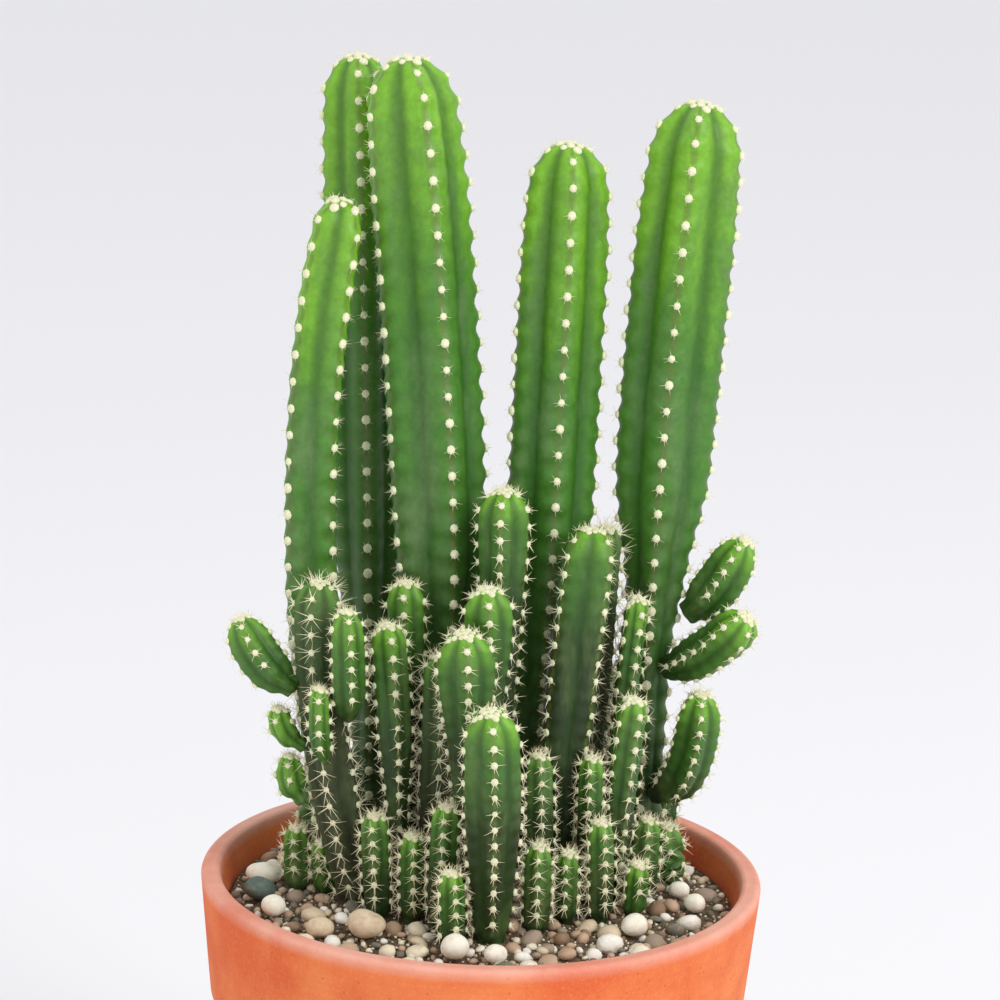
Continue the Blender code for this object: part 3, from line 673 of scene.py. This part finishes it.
def skin_finish(name, tip, middle, foot, furrow_shade, bloom, crest_line, fade, roughness, bark):
    """Cactus skin: colours darken down the stem, partly for age and partly as painted shade; fade in
    millimetres, bark from 0 to 1.
    """
    material, tree, shader, coordinates = new_finish(name)
    crest = put(tree, "ShaderNodeAttribute", attribute_name="crest").outputs["Fac"]
    areole = put(tree, "ShaderNodeAttribute", attribute_name="areole").outputs["Fac"]
    down = put(tree, "ShaderNodeAttribute", attribute_name="down").outputs["Fac"]
    stretched = put(tree, "ShaderNodeMapping", {"Vector": coordinates, "Scale": (1.0, 1.0, 0.3)})
    patches = put(tree, "ShaderNodeTexNoise",
                  {"Vector": stretched, "Scale": per(7), "Detail": 3.0, "Roughness": 0.6})
    mottle = put(tree, "ShaderNodeTexNoise",
                 {"Vector": coordinates, "Scale": per(1.6), "Detail": 4.0, "Roughness": 0.65})
    fade *= MM
    drift = put(tree, "ShaderNodeMath", {0: patches, 1: fade, 2: fade * -0.5}, operation="MULTIPLY_ADD")
    ragged = put(tree, "ShaderNodeMath", {0: down, 1: drift}, operation="ADD")
    youth = put(tree, "ShaderNodeMapRange", {"Value": ragged, "From Min": 0.0, "From Max": fade},
                interpolation_type="SMOOTHSTEP")
    # Painted shade, in part: the colour darkens towards the foot for older skin and for the shade of the
    # crowded lower clump.
    age_and_shade = put(tree, "ShaderNodeMapRange", {"Value": ragged, "From Min": fade, "From Max": DARKEST_AT * fade},
              interpolation_type="SMOOTHSTEP")
    # Painted shade: the furrows between the ribs get a darker colour, where the ribs shade them.
    furrow_shade_share = put(tree, "ShaderNodeMapRange",
                    {"Value": crest, "From Min": 0.7, "From Max": 0.0, "To Min": 0.0, "To Max": 0.6},
                    interpolation_type="SMOOTHSTEP")
    hazy = put(tree, "ShaderNodeMapRange",
               {"Value": patches, "From Min": 0.48, "From Max": 0.72, "To Max": 0.5})
    fresh = put(tree, "ShaderNodeMapRange", {"Value": youth, "To Min": 0.25})
    hazy_here = put(tree, "ShaderNodeMath", {0: hazy, 1: fresh}, operation="MULTIPLY")
    on_crest = put(tree, "ShaderNodeMapRange",
                   {"Value": crest, "From Min": 0.95, "From Max": 0.995, "To Max": 0.5})
    between = put(tree, "ShaderNodeMapRange", {"Value": areole, "From Min": 0.8, "From Max": 0.3})
    line_share = put(tree, "ShaderNodeMath", {0: on_crest, 1: between}, operation="MULTIPLY")
    colour = layers(tree, tip, (youth, middle), (age_and_shade, foot), (furrow_shade_share, furrow_shade), (hazy_here, bloom),
                    (line_share, crest_line))
    speckle = put(tree, "ShaderNodeMapRange",
                  {"Value": mottle, "From Min": 0.3, "From Max": 0.7, "To Min": 0.84, "To Max": 1.12})
    spotted = put(tree, "ShaderNodeHueSaturation", {"Value": speckle, "Color": colour})

    cracks = put(tree, "ShaderNodeTexNoise",
                 {"Vector": stretched, "Scale": per(0.9), "Detail": 5.0, "Roughness": 0.7})
    sheen_break = put(tree, "ShaderNodeMapRange",
                      {"Value": mottle, "From Min": 0.3, "From Max": 0.7,
                       "To Min": roughness - 0.07, "To Max": roughness + 0.1})
    relief = put(tree, "ShaderNodeBump",
                 {"Height": cracks, "Distance": (0.12 + 0.6 * bark) * MM, "Strength": 0.25 + 0.6 * bark})
    fill(tree, shader, {"Base Color": spotted, "Roughness": sheen_break, "Normal": relief,
                        "IOR": WAX_IOR})
    return material


SKINS = {
    # Waxed epidermis of a grown column: half-glossy green under a grey bloom.
    "mature_skin": skin_finish("waxy cactus skin", tip="#79b42a", middle="#457b25", foot="#3a5729",
                               furrow_shade="#1f4c10", bloom="#6b8753", crest_line="#646b39", fade=75,
                               roughness=0.42, bark=0.0),
    # Waxed skin of this year's growth: a fresh tip, and dark and dull low down among the spines, partly with
    # age and partly as painted shade.
    "young_skin": skin_finish("fresh cactus skin", tip="#79b62e", middle="#416f24", foot="#263817",
                              furrow_shade="#1f4410", bloom="#6c894a", crest_line="#717e3c", fade=20,
                              roughness=0.44, bark=0.1),
    # Cork bark of the old stems: grey-green and cracked, without gloss.
    "corky_skin": skin_finish("corky cactus bark", tip="#6a9a3e", middle="#4b6639", foot="#414a2e",
                              furrow_shade="#2c351d", bloom="#687a52", crest_line="#6c694a", fade=20,
                              roughness=0.72, bark=1.0),
}

# %% Felt and horn
# Areole felt: short dense wool, so a soft edge and no gloss.
felt, tree, shader, coordinates = new_finish("areole felt")
tufts = put(tree, "ShaderNodeTexNoise", {"Vector": coordinates, "Scale": per(0.5), "Detail": 3.0})
fluff = put(tree, "ShaderNodeBump", {"Height": tufts, "Distance": 0.3 * MM})
fill(tree, shader, {"Base Color": layers(tree, "#d9d9a6", (tufts, "#fbf8dc")), "Normal": fluff,
                    "Roughness": 1.0, "Sheen Weight": 0.4, "Sheen Roughness": 0.5})

# Spine: a horn-like needle, ivory at its base and light brown at the tip.
horn, tree, shader, _ = new_finish("spine horn")
tip = put(tree, "ShaderNodeAttribute", attribute_name="tip").outputs["Fac"]
browning = put(tree, "ShaderNodeMapRange", {"Value": tip, "From Min": 0.55, "From Max": 1.0, "To Max": 0.7})
fill(tree, shader, {"Base Color": layers(tree, "#f6f0cf", (browning, "#c9a76a")), "Roughness": 0.5})
print("finishes:", sorted(m.name for m in bpy.data.materials))

# %% [markdown]
# ## Growing every stem
# The columns are well grown, with areoles six or seven millimetres apart and short spines. The
# half-grown stems, the offsets and the side shoots are younger, so their areoles crowd together
# and their spines are long for their size, which is what makes the foot of the clump look
# frosted. One table says what each kind has, and one loop grows them all.

# %% Kinds of stem
# The darkening pace, for age and painted shade, is a factor, and around, star and crown are counts.
# The rest is in millimetres.
KINDS = {
    "column": {"darkening_pace": 1.0, "spacing": 6.6, "swelling": 0.95, "around": 16, "row": 1.0,
               "pad": 2.2, "star": 7, "spine": 2.4, "needle": 0.16, "crown": 9, "crown width": 5.0},
    "stem": {"darkening_pace": 1.4, "spacing": 4.4, "swelling": 0.5, "around": 12, "row": 0.75,
             "pad": 1.7, "star": 7, "spine": 2.6, "needle": 0.22, "crown": 12, "crown width": 3.0},
    "old": {"darkening_pace": 1.3, "spacing": 4.4, "swelling": 0.5, "around": 12, "row": 0.75,
            "pad": 1.6, "star": 8, "spine": 4.2, "needle": 0.22, "crown": 10, "crown width": 2.6},
    # Offsets darken fastest, mostly as painted shade of the crowded foot of the clump.
    "offset": {"darkening_pace": 2.6, "spacing": 3.6, "swelling": 0.4, "around": 10, "row": 0.6,
               "pad": 1.6, "star": 9, "spine": 3.0, "needle": 0.22, "crown": 10, "crown width": 2.0},
    "shoot": {"darkening_pace": 1.3, "spacing": 3.8, "swelling": 0.4, "around": 10, "row": 0.6,
              "pad": 1.6, "star": 6, "spine": 2.2, "needle": 0.2, "crown": 9, "crown width": 2.2},
}
RIB_DEPTH = 0.24
BURIED = 9.0 * MM


def kind_of(name):
    if name in side_shoots:
        return "shoot"
    if slots[name] == "corky_skin":
        return "old"
    return name.split("_")[0]


def join_pieces(name, pieces):
    """Joins plain mesh objects into one piece."""
    with bpy.context.temp_override(active_object=pieces[0], selected_editable_objects=pieces):
        bpy.ops.object.join()
    pieces[0].name = name
    pieces[0].data.name = name
    return pieces[0]


# %% Grow them
skins = []
wool = {}
spines = {}
for name in stem_names:
    kind = kind_of(name)
    says = KINDS[kind]
    mesh, sizes, skin_length = station_mesh(name)
    sizes.update({"Rib depth": RIB_DEPTH, "Areole spacing": says["spacing"] * MM,
                  "Swelling": says["swelling"] * MM})
    rows = round(skin_length / (says["row"] * MM))
    skin = grow("skin_" + name, mesh.copy(), skin_tree,
                {**sizes, "Points around": says["around"] * sizes["Ribs"], "Rows": rows,
                 "Darkening pace": says["darkening_pace"], "Skin": SKINS[slots[name]]})
    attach(skin, "root")
    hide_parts(name)
    skins.append(skin)
    hidden = SHOOT_OVERLAP if name in side_shoots else BURIED
    a_rib = int((skin_length - hidden) / (says["spacing"] * MM) - FIRST_AREOLE)
    sizes.update({"Areoles a rib": a_rib, "Crown points": says["crown"],
                  "Crown width": says["crown width"] * MM})
    wool.setdefault(kind, []).append(
        grow("wool_" + name, mesh.copy(), wool_tree, {**sizes, "Pad width": says["pad"] * MM, "Wool": felt}))
    spines.setdefault(kind, []).append(
        grow("spines_" + name, mesh, spine_tree,
             {**sizes, "Spines a star": says["star"], "Spine length": says["spine"] * MM,
              "Spine width": says["needle"] * MM, "Spine": horn}))
for dressing, label in ((wool, "wool"), (spines, "spines")):
    for kind, pieces in dressing.items():
        piece = join_pieces(f"{label}_{kind}s", pieces)
        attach(piece, "root")
        print(piece.name, len(piece.data.polygons), "faces")
print(sum(len(skin.data.polygons) for skin in skins), "faces of skin")

# %% [markdown]
# ## The pot
# A clay pot is turned, so it is a section spun round its axis. The section is read from the
# solid, its corners are softened by cutting them again and again, and it is spun in steps too
# fine to see. Hand-finished clay is never quite round: slow noise moves the wall by a tenth or
# two of a millimetre.

# %% Turned clay
TURN_STEPS = 192
CORNER = 0.35 * MM
LONG_RUN = 2.2 * MM
CORNER_CUTS = 2
CLAY_WANDER = 0.16 * MM
WARP_WIDTH = 45
RING_WIDTH = 3
RING_SHARE = 0.4


def read_section(node):
    """The closed outline of a turned solid on its +X side, as points (radius, height)."""
    cage = merged_copy(node)
    section = [v for v in cage.verts if abs(v.co.y) < CAD_MERGE and v.co.x > CAD_MERGE]
    here = max(section, key=lambda v: v.co.z)
    path = []
    while here:
        path.append((here.co.x, here.co.z))
        section.remove(here)
        near = [e.other_vert(here) for e in here.link_edges]
        here = next((v for v in near if v in section), None)
    cage.free()
    return path


def soften(outline):
    """Cuts the corners of a closed outline, and leaves its long runs straight."""
    points = []
    for here, after in zip(outline, outline[1:] + outline[:1]):
        start, end = Vector(here), Vector(after)
        points.append(start)
        if (end - start).length > LONG_RUN:
            way = (end - start).normalized()
            points += [start + way * CORNER, end - way * CORNER]
    for _ in range(CORNER_CUTS):
        points = [p for here, after in zip(points, points[1:] + points[:1])
                  for p in (here.lerp(after, 0.25), here.lerp(after, 0.75))]
    return points


def spin(name, outline, closed):
    """Spins an outline round Z into a mesh whose faces point outwards."""
    mesh = bpy.data.meshes.new(name)
    edges = [(i, i + 1) for i in range(len(outline) - 1)]
    if closed:
        edges.append((len(outline) - 1, 0))
    mesh.from_pydata([(r, 0.0, z) for r, z in outline], edges, [])
    piece = bpy.data.objects.new(name, mesh)
    bpy.context.scene.collection.objects.link(piece)
    screw = piece.modifiers.new("Turn", "SCREW")
    screw.steps = TURN_STEPS
    screw.render_steps = TURN_STEPS
    screw.use_merge_vertices = True
    screw.merge_threshold = SEAM_MERGE
    graph = bpy.context.evaluated_depsgraph_get()
    spun = bpy.data.meshes.new_from_object(piece.evaluated_get(graph))
    piece.modifiers.clear()
    piece.data = spun
    shape = bmesh.new()
    shape.from_mesh(spun)
    bmesh.ops.recalc_face_normals(shape, faces=shape.faces[:])
    shape.to_mesh(spun)
    shape.free()
    spun.shade_smooth()
    return piece


pot = spin("clay_pot", soften(read_section("pot")), True)
for vert in pot.data.vertices:
    out = Vector((vert.co.x, vert.co.y, 0.0)).normalized()
    warp = noise.noise(vert.co * per(WARP_WIDTH))
    rings = noise.noise(Vector((0.0, 0.0, vert.co.z)) * per(RING_WIDTH))
    vert.co += out * CLAY_WANDER * (warp + RING_SHARE * rings)
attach(pot, "root")
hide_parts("pot")
print("pot:", len(pot.data.polygons), "faces")

# %% [markdown]
# Terracotta is fired clay, coarse and open, so it has no gloss at all. Its orange is never even:
# it has paler clouds, chalky salts along the lip, fine turning lines and dark grains of sand.

# %% Terracotta
SALT_DEPTH = 3.5 * MM
LIP_ROUND = 0.4 * MM

clay, tree, shader, coordinates = new_finish("fired terracotta")
height = put(tree, "ShaderNodeSeparateXYZ", {0: coordinates}).outputs["Z"]
clouds = put(tree, "ShaderNodeTexNoise",
             {"Vector": coordinates, "Scale": per(26), "Detail": 5.0, "Roughness": 0.6})
lines_space = put(tree, "ShaderNodeMapping", {"Vector": coordinates, "Scale": (0.05, 0.05, 1.0)})
turning = put(tree, "ShaderNodeTexNoise", {"Vector": lines_space, "Scale": per(1.4), "Detail": 3.0})
grain = put(tree, "ShaderNodeTexNoise",
            {"Vector": coordinates, "Scale": per(0.7), "Detail": 4.0, "Roughness": 0.7})
sand = put(tree, "ShaderNodeTexVoronoi", {"Vector": coordinates, "Scale": per(2.6)})
warm = put(tree, "ShaderNodeMapRange", {"Value": clouds, "From Min": 0.36, "From Max": 0.64})
pale_bits = put(tree, "ShaderNodeMapRange",
                {"Value": grain, "From Min": 0.5, "From Max": 0.75, "To Max": 0.35})
banding = put(tree, "ShaderNodeMapRange",
              {"Value": turning, "From Min": 0.35, "From Max": 0.65, "To Max": 0.22})
specks = put(tree, "ShaderNodeMapRange",
             {"Value": sand, "From Min": 0.16, "From Max": 0.08, "To Max": 0.5})
near_lip = put(tree, "ShaderNodeMapRange",
               {"Value": height, "From Min": pot_high.z - SALT_DEPTH, "From Max": pot_high.z - LIP_ROUND})
salty = put(tree, "ShaderNodeMath", {0: near_lip, 1: clouds}, operation="MULTIPLY")
colour = layers(tree, "#da612d", (warm, "#eb8549"), (pale_bits, "#f2a677"), (banding, "#d56438"),
                (specks, "#b4512d"), (salty, "#ecc4b8"))
coarse = put(tree, "ShaderNodeMath", {0: grain, 1: turning})
relief = put(tree, "ShaderNodeBump", {"Height": coarse, "Distance": 0.25 * MM, "Strength": 0.35})
fill(tree, shader, {"Base Color": colour, "Roughness": 0.88, "Normal": relief})
pot.data.materials.append(clay)
print("terracotta:", len(tree.nodes), "nodes")

# %% [markdown]
# ## Soil
# Potting soil is a crumbly mix of peat, bark and grit, mounded a little under the plant. The
# mound is spun like the pot, with many rings on top, and then three sizes of noise lift its
# surface into crumbs. Under the surface it is one plain body down to the pot's floor.

# %% Crumbly mound
SOIL_RINGS = 90
CRUMBS = ((11.0, 0.5), (3.2, 0.55), (1.3, 0.3))
FLOOR_BAND = 3 * MM
WIDEST_HOLE = 20 * MM
WALL_BAND = 0.5 * MM

soil_low, soil_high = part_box("soil")
soil_section = sorted({(round(v.co.xy.length, 6), v.co.z) for v in frame["nodes"]["soil"].data.vertices})
soil_radius = soil_section[-1][0]
edge_height = max(z for r, z in soil_section if r > soil_radius - CAD_MERGE)
floor_points = [(r, z) for r, z in soil_section if z < soil_low.z + FLOOR_BAND and r > WIDEST_HOLE]


def soil_height(distance):
    """The mound's height at a distance from the pot's axis."""
    return soil_high.z - (soil_high.z - edge_height) * (distance / soil_radius) ** 2


top = [(soil_radius * ring / SOIL_RINGS, soil_height(soil_radius * ring / SOIL_RINGS))
       for ring in range(SOIL_RINGS + 1)]
soil_floor = sorted(floor_points, key=lambda point: -point[1])
mound = spin("potting_soil", top + [soil_floor[0], soil_floor[-1], (0.0, soil_low.z)], False)
for vert in mound.data.vertices:
    distance = vert.co.xy.length
    if vert.co.z > edge_height - MM and distance < soil_radius - WALL_BAND:
        for width, lift in CRUMBS:
            vert.co.z += lift * MM * noise.noise(vert.co * per(width))
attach(mound, "root")
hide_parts("soil")

# Peat and bark: very dark and matt, with lighter fibres and dust.
soil_finish, tree, shader, coordinates = new_finish("peaty potting soil")
lumps = put(tree, "ShaderNodeTexNoise",
            {"Vector": coordinates, "Scale": per(2.2), "Detail": 6.0, "Roughness": 0.7})
fibres = put(tree, "ShaderNodeTexVoronoi", {"Vector": coordinates, "Scale": per(1.5)})
dry = put(tree, "ShaderNodeMapRange", {"Value": lumps, "From Min": 0.35, "From Max": 0.68})
dusty = put(tree, "ShaderNodeMapRange",
            {"Value": fibres, "From Min": 0.3, "From Max": 0.1, "To Max": 0.6})
colour = layers(tree, "#33271d", (dry, "#8a7458"), (dusty, "#a99172"))
relief = put(tree, "ShaderNodeBump", {"Height": lumps, "Distance": 1.0 * MM})
fill(tree, shader, {"Base Color": colour, "Roughness": 0.95, "Normal": relief})
mound.data.materials.append(soil_finish)
print("soil:", len(mound.data.polygons), "faces")

# %% [markdown]
# ## Pebbles and gravel
# The top dressing is river gravel: rounded stones in cream, tan, pink-brown and a few dark ones.
# The largest are solids of the model, and each gets a finer, slightly lumpy stone in its place.
# The rest are strewn by a tree: points scattered on the soil with a least distance between them,
# none inside a stem or the pot, a stone on each, and noise that gives every stone its own shape.

# %% Stone finish
def stone_finish(name, tones, vein):
    """Water-worn stone. Tones run over the note named tone, from 0 to 1."""
    material, tree, shader, coordinates = new_finish(name)
    tone = put(tree, "ShaderNodeAttribute", attribute_name="tone").outputs["Fac"]
    ramp = put(tree, "ShaderNodeValToRGB", {0: tone})
    ramp.color_ramp.interpolation = "CONSTANT"
    for number, code in enumerate(tones):
        if number < 2:
            stop = ramp.color_ramp.elements[number]
            stop.position = number / len(tones)
        else:
            stop = ramp.color_ramp.elements.new(number / len(tones))
        stop.color = linear(code)
    clouds = put(tree, "ShaderNodeTexNoise",
                 {"Vector": coordinates, "Scale": per(2.4), "Detail": 4.0, "Roughness": 0.65})
    cloudy = put(tree, "ShaderNodeMapRange",
                 {"Value": clouds, "From Min": 0.48, "From Max": 0.75, "To Max": 0.6})
    pits = put(tree, "ShaderNodeTexNoise", {"Vector": coordinates, "Scale": per(0.6), "Detail": 3.0})
    relief = put(tree, "ShaderNodeBump", {"Height": pits, "Distance": 0.15 * MM, "Strength": 0.5})
    fill(tree, shader, {"Base Color": layers(tree, ramp.outputs["Color"], (cloudy, vein)),
                        "Roughness": 0.68, "Normal": relief})
    return material


STONES = {
    "pale_pebble": stone_finish("cream river pebble", ("#f7f1e0", "#efe4ca"), "#d9c7a4"),
    "tan_pebble": stone_finish("tan river pebble", ("#dcc8a8", "#cbb092"), "#a98a70"),
    "slate_pebble": stone_finish("dark green-grey pebble", ("#55665c", "#3f4d46"), "#8b9a8c"),
}
gravel_finish = stone_finish(
    "mixed river gravel",
    ("#f4ecd8", "#d9c6a6", "#b99c80", "#e9dfc9", "#9c8a78", "#efe3c6", "#c7a78c", "#6d6c5e",
     "#f6f2e6", "#8d7156"), "#b8a184")

# %% The larger pebbles
PEBBLE_LUMPS = ((5.0, 0.35), (2.0, 0.12))

pebble_names = [name for name in slots if name.startswith("pebble_")]
for name in pebble_names:
    cage = merged_copy(name)
    mesh = bpy.data.meshes.new(name + "_stone")
    cage.to_mesh(mesh)
    cage.free()
    stone = bpy.data.objects.new("stone_" + name, mesh)
    bpy.context.scene.collection.objects.link(stone)
    rounding = stone.modifiers.new("Rounding", "SUBSURF")
    rounding.levels = 2
    rounding.render_levels = 2
    graph = bpy.context.evaluated_depsgraph_get()
    stone.data = bpy.data.meshes.new_from_object(stone.evaluated_get(graph))
    stone.modifiers.clear()
    for vert in stone.data.vertices:
        lift = sum(height * noise.noise(vert.co * per(width)) for width, height in PEBBLE_LUMPS)
        vert.co += vert.normal * lift * MM
    stone.data.shade_smooth()
    stone.data.materials.clear()
    stone.data.materials.append(STONES[slots[name]])
    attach(stone, "root")
    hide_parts(name)
print(len(pebble_names), "large pebbles")

# %% The gravel tree
STONE_SEED = 21
SUNK_SHARE = 0.35
LUMPS_A_STONE = 0.7

gravel_tree, given, found = new_tree(
    "strewn gravel",
    {"Geometry": "Geometry", "Plant": "Object", "Least gap": "Float", "Stones a square metre": "Float",
     "Smallest": "Float", "Largest": "Float", "Roundness": "Int", "Lumps": "Float", "Pot radius": "Float",
     "Seed": "Int", "Stone": "Material"}, {"Geometry": "Geometry"})
scattered = put(gravel_tree, "GeometryNodeDistributePointsOnFaces",
                {"Mesh": given["Geometry"], "Seed": given["Seed"]}, distribute_method="POISSON")
gravel_tree.links.new(given["Least gap"], scattered.inputs["Distance Min"])
gravel_tree.links.new(given["Stones a square metre"], scattered.inputs["Density Max"])
size = put(gravel_tree, "FunctionNodeRandomValue",
           {"Min": given["Smallest"], "Max": given["Largest"], "Seed": given["Seed"]})
noted = put(gravel_tree, "GeometryNodeStoreNamedAttribute",
            {"Geometry": scattered.outputs["Points"], "Name": "size", "Value": size})
size_note = put(gravel_tree, "GeometryNodeInputNamedAttribute", {"Name": "size"})
spot = put(gravel_tree, "GeometryNodeInputPosition")
plant = put(gravel_tree, "GeometryNodeObjectInfo", {"Object": given["Plant"]})
to_plant = put(gravel_tree, "GeometryNodeProximity",
               {"Geometry": plant.outputs["Geometry"], "Sample Position": spot}, target_element="FACES")
crowded = put(gravel_tree, "ShaderNodeMath", {0: to_plant.outputs["Distance"], 1: size_note},
              operation="LESS_THAN")
flat = put(gravel_tree, "ShaderNodeVectorMath", {0: spot, 1: (1.0, 1.0, 0.0)}, operation="MULTIPLY")
distance = put(gravel_tree, "ShaderNodeVectorMath", {0: flat}, operation="LENGTH")
outer = put(gravel_tree, "ShaderNodeMath", {0: distance.outputs["Value"], 1: size_note},
            operation="ADD")
in_wall = put(gravel_tree, "ShaderNodeMath", {0: outer, 1: given["Pot radius"]}, operation="GREATER_THAN")
unwanted = put(gravel_tree, "ShaderNodeMath", {0: crowded, 1: in_wall}, operation="MAXIMUM")
kept = put(gravel_tree, "GeometryNodeDeleteGeometry", {"Geometry": noted, "Selection": unwanted},
           domain="POINT")
lift = put(gravel_tree, "ShaderNodeMath", {0: size_note, 1: SUNK_SHARE}, operation="MULTIPLY")
raised = put(gravel_tree, "GeometryNodeSetPosition",
             {"Geometry": kept, "Offset": put(gravel_tree, "ShaderNodeCombineXYZ", {"Z": lift})})
ball = put(gravel_tree, "GeometryNodeMeshIcoSphere", {"Radius": 1.0, "Subdivisions": given["Roundness"]})
spread = put(gravel_tree, "FunctionNodeRandomValue",
             {"Min": (0.75, 0.75, 0.55), "Max": (1.2, 1.0, 0.8), "Seed": STONE_SEED},
             data_type="FLOAT_VECTOR")
shape = put(gravel_tree, "ShaderNodeVectorMath", {0: spread, "Scale": size_note},
            operation="SCALE")
heading = put(gravel_tree, "FunctionNodeRandomValue",
              {"Min": (-0.4, -0.4, 0.0), "Max": (0.4, 0.4, math.tau), "Seed": STONE_SEED + 1},
              data_type="FLOAT_VECTOR")
facing = put(gravel_tree, "FunctionNodeEulerToRotation", {"Euler": heading})
stones = put(gravel_tree, "GeometryNodeInstanceOnPoints",
             {"Points": raised, "Instance": ball.outputs["Mesh"], "Rotation": facing, "Scale": shape})
tone = put(gravel_tree, "FunctionNodeRandomValue", {"Min": 0.0, "Max": 1.0, "Seed": STONE_SEED + 2})
toned = put(gravel_tree, "GeometryNodeStoreNamedAttribute",
            {"Geometry": stones, "Name": "tone", "Value": tone}, domain="INSTANCE")
real = put(gravel_tree, "GeometryNodeRealizeInstances", {"Geometry": toned})
lump_scale = put(gravel_tree, "ShaderNodeMath", {0: LUMPS_A_STONE, 1: given["Largest"]}, operation="DIVIDE")
lumps = put(gravel_tree, "ShaderNodeTexNoise", {"Vector": spot, "Scale": lump_scale, "Detail": 1.0})
centred = put(gravel_tree, "ShaderNodeVectorMath", {0: lumps.outputs["Color"], 1: (0.5, 0.5, 0.5)},
              operation="SUBTRACT")
push = put(gravel_tree, "ShaderNodeVectorMath", {0: centred, "Scale": given["Lumps"]}, operation="SCALE")
lumpy = put(gravel_tree, "GeometryNodeSetPosition", {"Geometry": real, "Offset": push})
finish_tree(gravel_tree, lumpy, True, given["Stone"], found["Geometry"])

# %% Strew three sizes
STEEPEST = 0.3

clump = bmesh.new()
for name in stem_names + pebble_names:
    clump.from_mesh(frame["nodes"][name].data)
clump_mesh = bpy.data.meshes.new("clump")
clump.to_mesh(clump_mesh)
clump.free()
clump_helper = bpy.data.objects.new("clump", clump_mesh)
bpy.context.scene.collection.objects.link(clump_helper)

surface = bmesh.new()
surface.from_mesh(mound.data)
half_way = (soil_low.z + edge_height) / 2
buried = [f for f in surface.faces if f.normal.z < STEEPEST or f.calc_center_median().z < half_way]
bmesh.ops.delete(surface, geom=buried, context="FACES")
surface_mesh = bpy.data.meshes.new("soil_surface")
surface.to_mesh(surface_mesh)
surface.free()

# Name, least gap, stones a square metre, smallest, largest, roundness, lumps and seed. The gap,
# the sizes and the lumps are in millimetres, and the roundness is the ball's subdivisions.
GRAVEL = (
    ("small_pebbles", 5.4, 60000, 1.9, 3.4, 2, 1.5, 3),
    ("gravel", 2.3, 200000, 0.8, 1.6, 2, 0.8, 5),
    ("grit", 1.2, 420000, 0.3, 0.6, 1, 0.25, 8),
)
for name, gap, crowd, smallest, largest, roundness, lumps, seed in GRAVEL:
    values = {"Plant": clump_helper, "Least gap": gap * MM, "Stones a square metre": float(crowd),
              "Smallest": smallest * MM, "Largest": largest * MM, "Roundness": roundness,
              "Lumps": lumps * MM, "Pot radius": soil_radius, "Seed": seed, "Stone": gravel_finish}
    strewn = grow(name, surface_mesh.copy(), gravel_tree, values)
    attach(strewn, "root")
    print(name, len(strewn.data.polygons), "faces")
bpy.data.objects.remove(clump_helper)

# %% [markdown]
# ## Size
# The skin may swell past the solids by a hair and the spines by a few millimetres. The two boxes
# are printed so that they can be compared.

# %% Write the sizes and finish
visual_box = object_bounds()
for label, box in (("solids", CAD_BOX), ("visual", visual_box)):
    print(label, [round((high - low) / MM, 1) for low, high in zip(*box)], "mm")
